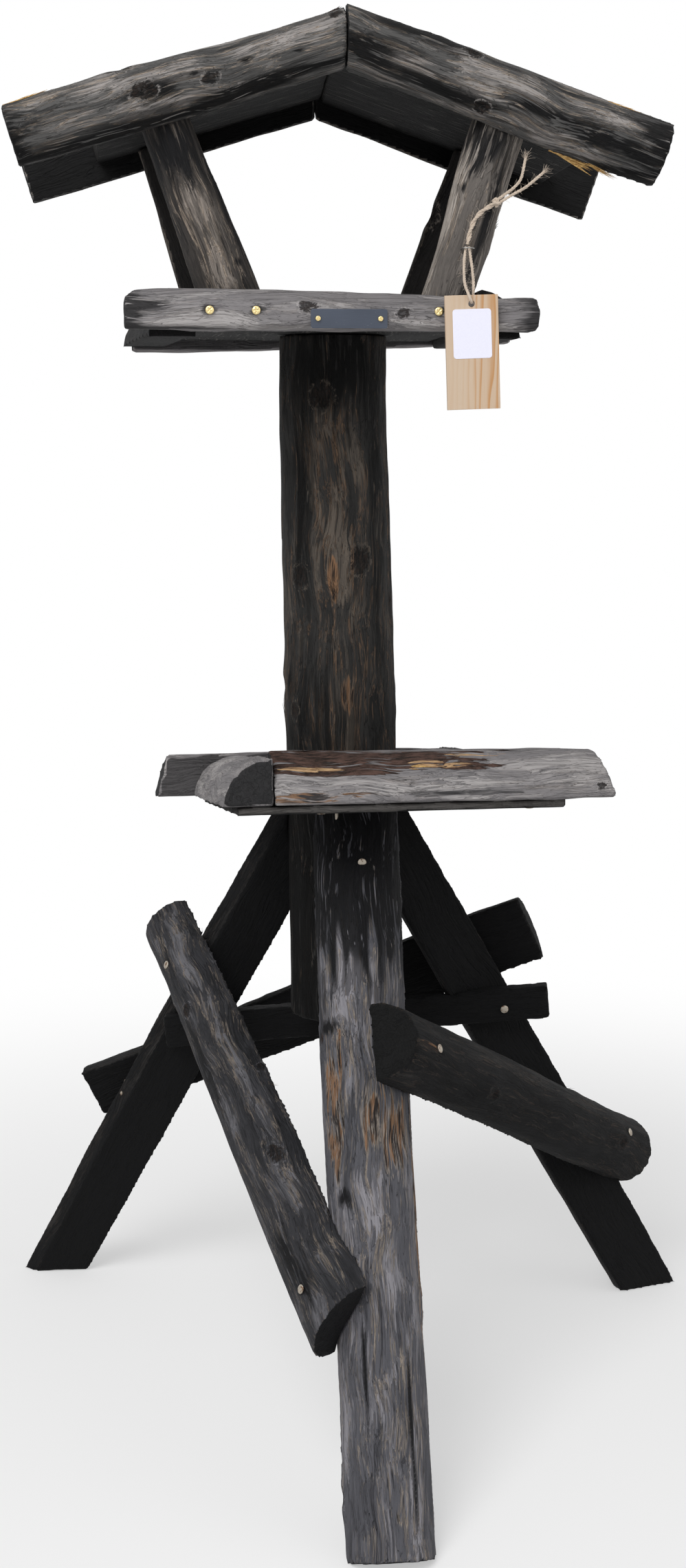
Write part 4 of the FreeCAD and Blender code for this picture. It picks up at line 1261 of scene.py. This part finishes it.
def add_bundle(shape, name, spot, heading, length, width, lift, count):
    """Blades that leave one spot of a piece of wood, each a little different."""
    wood = bpy.data.objects[name + "_wood"]
    skin = BVHTree.FromObject(wood, bpy.context.evaluated_depsgraph_get())
    root, outward = touched(skin, *spot)
    heading = to_the_right * heading[0] - up_in_view * heading[1]
    level = (heading - outward * heading.dot(outward)).normalized()
    for _ in range(count):
        aside = heading.cross(outward).normalized() * sliver_draw.gauss(0, width * MM * 0.5)
        start = skin.find_nearest(root + aside + heading * sliver_draw.uniform(-0.004, 0.004))[0]
        along = (level + outward.cross(level) * sliver_draw.gauss(0, 0.08)).normalized()
        add_blade(shape, start, along, outward, length * MM * sliver_draw.uniform(0.5, 1.0),
                  width * MM * sliver_draw.uniform(0.4, 0.9),
                  lift * MM * sliver_draw.uniform(0.2, 1.0))


for kind, bundles in SLIVERS.items():
    shape = bmesh.new()
    for bundle in bundles:
        add_bundle(shape, *bundle)
    mesh = finish_mesh(kind + "_slivers", shape, smooth=False)
    mesh.materials.append(sliver_finishes[kind])
    place_mesh(kind + "_slivers", mesh, "table")
    print(kind, "slivers:", len(mesh.polygons), "faces")

# %% [markdown]
# ## The plate, the tag and its label
# These are thin sheets with small holes and eased edges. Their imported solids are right, so a
# narrow bevel is all the shape they need. The plate is dark and satin, left blank. The tag is a
# slip of planed pine, so its grain is straight lines, and its blank label is white and smooth.

# %% Ease the edges of a sheet
LABEL_THICK = 0.0003
LABEL_CORNER = 0.0026


def softened(name, width, body, round_corners=0.0):
    """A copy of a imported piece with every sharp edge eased, and its corners rounded if asked."""
    shape = bmesh.new()
    shape.from_mesh(nodes[name].data)
    bmesh.ops.remove_doubles(shape, verts=shape.verts, dist=WELD)
    bmesh.ops.dissolve_limit(shape, angle_limit=math.radians(2), verts=shape.verts,
                             edges=shape.edges)
    if round_corners:
        corners = [edge for edge in shape.edges if edge.calc_length() < 2 * LABEL_THICK]
        bmesh.ops.bevel(shape, geom=corners, offset=round_corners, segments=6, profile=0.5,
                        affect="EDGES")
    sharp = [edge for edge in shape.edges
             if len(edge.link_faces) == 2 and edge.calc_face_angle() > math.radians(35)]
    bmesh.ops.bevel(shape, geom=sharp, offset=width, segments=2, profile=0.6, affect="EDGES")
    piece = place_mesh(name + "_eased", finish_mesh(name, shape, smooth=False), body)
    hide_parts(name)
    return piece


plate = softened("name_plate", 0.0003, "table")
tag = softened("hang_tag", 0.0004, "tag")
label = softened("tag_label", 0.00006, "tag", LABEL_CORNER)
staple = softened("twine_staple", 0.0002, "table")
staple.data.materials.append(wire_finish)
print("eased:", plate.name, tag.name, label.name, staple.name)

# %% Finish the plate
def plate_finish():
    """Dark anodised sheet, brushed along its length, with a painted reflection of the sky in paler
    blue-grey clouds and a few pale scratches.
    """
    finish, tree, surface = new_finish("dark_plate")
    brushed = object_cloud(tree, (60, 900, 3800), 3.0, 0.6)
    sky = object_cloud(tree, (26, 26, 26), 2.0, 0.5)
    scratch = band(tree, object_cloud(tree, (300, 300, 2000), 2.0, 0.7), 0.68, 0.76)
    # The sky cloud paints a reflection of the sky into the plate's colour as paler blue-grey
    # patches.
    paint = blend(tree, sum_of(tree, (brushed, 0.5), (sky, 0.6)), colour(44, 50, 60),
                  colour(80, 87, 101))
    paint = blend(tree, times(tree, scratch, 0.35), paint, colour(176, 178, 182))
    dress(tree, surface, paint, sum_of(tree, 0.34, (brushed, 0.2)),
          sum_of(tree, (brushed, 0.00004)), 0.4)
    set_inputs(surface, Metallic=0.35)
    return finish


plate.data.materials.append(plate_finish())
print("the plate is blank")

# %% Finish the tag and the label
TAG_MIDDLE = (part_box("hang_tag")[0][0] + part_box("hang_tag")[1][0]) / 2
FADE = 0.010


def pine_finish():
    """Planed pine: straight, warm summer rings on cream wood, strongest on the right half."""
    finish, tree, surface = new_finish("planed_pine")
    drift = object_cloud(tree, (85, 30, 7), 2.0, 0.5)
    fine = object_cloud(tree, (2400, 700, 40), 4.0, 0.6)
    sideways = step(tree, "SeparateXYZ", (step(tree, "TexCoord", out=3),))
    rings = maths(tree, "FRACT", sum_of(tree, (sideways, 165.0), (drift, 3.0)))
    summer = times(tree, band(tree, rings, 0.35, 0.86),
                   maths(tree, "SUBTRACT", 1.0, band(tree, rings, 0.88, 1.0)))
    to_right = band(tree, sideways, TAG_MIDDLE - FADE, TAG_MIDDLE + FADE)
    lively = sum_of(tree, 0.15, (to_right, 0.85))
    share = sum_of(tree, (times(tree, summer, lively), 0.62), (fine, 0.3), (lively, 0.12))
    paint = blend(tree, share, colour(197, 180, 160), colour(176, 126, 72))
    dress(tree, surface, paint, sum_of(tree, 0.5, (fine, 0.2)),
          sum_of(tree, (fine, 0.00006), (summer, 0.00004)), 0.5)
    return finish


def label_finish():
    """Blank white satin paper, very slightly uneven."""
    finish, tree, surface = new_finish("blank_paper")
    pulp = object_cloud(tree, (900, 900, 900), 3.0, 0.6)
    paint = blend(tree, pulp, colour(222, 222, 238), colour(232, 232, 244))
    dress(tree, surface, paint, sum_of(tree, 0.38, (pulp, 0.15)),
          sum_of(tree, (pulp, 0.00002)), 0.3)
    return finish


tag.data.materials.append(pine_finish())
label.data.materials.append(label_finish())
print("the tag and its label are finished")

# %% [markdown]
# ## The colour of jute
# Jute is the colour of straw, darker where its fibres lie deep, and soft at the edges because of
# its fuzz. A hair shader could do that. A little sheen on the usual surface node gives the same
# soft edge, and serves the twine and its loose fibres alike.

# %% Finish the twine
def jute_finish():
    """Pale jute, darker between the fibres."""
    finish, tree, surface = new_finish("jute")
    fuzz = object_cloud(tree, (1500, 1500, 1500), 4.0, 0.65)
    tint = object_cloud(tree, (120, 120, 120), 2.0, 0.5)
    paint = blend(tree, sum_of(tree, (fuzz, 0.7), (tint, 0.3)), colour(158, 138, 118),
                  colour(228, 214, 198))
    dress(tree, surface, paint, sum_of(tree, 0.75, (fuzz, 0.2)), sum_of(tree, (fuzz, 0.0003)), 0.7)
    set_inputs(surface, Sheen_Weight=0.25, Sheen_Roughness=0.5)
    return finish


jute = jute_finish()
for piece in twine_pieces:
    piece.data.materials.append(jute)
print("pieces of twine:", len(twine_pieces))

# %% [markdown]
# ## Floor and light
# The floor is pale and plain, and fades to white away from the table. One big soft lamp stands
# up to the left and in front, where the photograph's light comes from, and a weak one stands to
# the right. A sky image could light it as well, but an even sky keeps every colour as written.

# %% The floor
FLOOR_REACH = 6.0
FLOOR_DROP = 0.0006
floor_shape = bmesh.new()
bmesh.ops.create_grid(floor_shape, x_segments=8, y_segments=8, size=FLOOR_REACH)
floor = bpy.data.objects.new("floor", finish_mesh("floor", floor_shape))
floor.location.z = -FLOOR_DROP
scene.collection.objects.link(floor)

floor_paint, tree, surface = new_finish("pale_floor")
output = tree.nodes["Material Output"]
set_inputs(surface, Base_Color=colour(236, 236, 236), Roughness=0.9, Specular_IOR_Level=0.1)
white = step(tree, "Emission", {"Color": (1, 1, 1, 1), "Strength": 1.0})
distance = step(tree, "VectorMath", (step(tree, "TexCoord", out=3),), out=1, operation="LENGTH")
faded = sum_of(tree, 0.45, (band(tree, distance, 0.45, 1.6), 0.55))
rays = tree.nodes.new("ShaderNodeLightPath")
direct = maths(tree, "MAXIMUM", rays.outputs["Is Camera Ray"], rays.outputs["Is Glossy Ray"])
mixed = step(tree, "MixShader", (times(tree, faded, direct), surface.outputs[0], white))
tree.links.new(mixed, output.inputs["Surface"])
floor.data.materials.append(floor_paint)
print("floor %.0f m across" % (2 * FLOOR_REACH))

# %% The light
KEY_POWER = 112.0
FILL_POWER = 16.0
SKY_LIGHT = 0.42
AIM_POINT = Vector((0, 0, 0.7))


def soft_lamp(name, place, size, power):
    """A square lamp aimed at the table."""
    lamp = bpy.data.lights.new(name, "AREA")
    lamp.size = size
    lamp.energy = power
    holder = bpy.data.objects.new(name, lamp)
    holder.location = place
    aim = AIM_POINT - Vector(place)
    holder.rotation_euler = aim.to_track_quat("-Z", "Y").to_euler()
    scene.collection.objects.link(holder)


soft_lamp("key", (-1.6, -2.4, 3.2), 2.2, KEY_POWER)
soft_lamp("fill", (2.6, -1.6, 1.6), 2.4, FILL_POWER)
world = bpy.data.worlds.new("sky")
world.use_nodes = True
scene.world = world
sky_tree = world.node_tree
sky_rays = sky_tree.nodes.new("ShaderNodeLightPath")
seen = maths(sky_tree, "MAXIMUM", sky_rays.outputs["Is Camera Ray"],
             sky_rays.outputs["Is Glossy Ray"])
strength = sum_of(sky_tree, SKY_LIGHT, (seen, 1.0 - SKY_LIGHT))
background = sky_tree.nodes["Background"]
background.inputs["Color"].default_value = (1, 1, 1, 1)
sky_tree.links.new(strength, background.inputs["Strength"])
scene.view_settings.view_transform = "Standard"
print("two lamps and a plain sky")
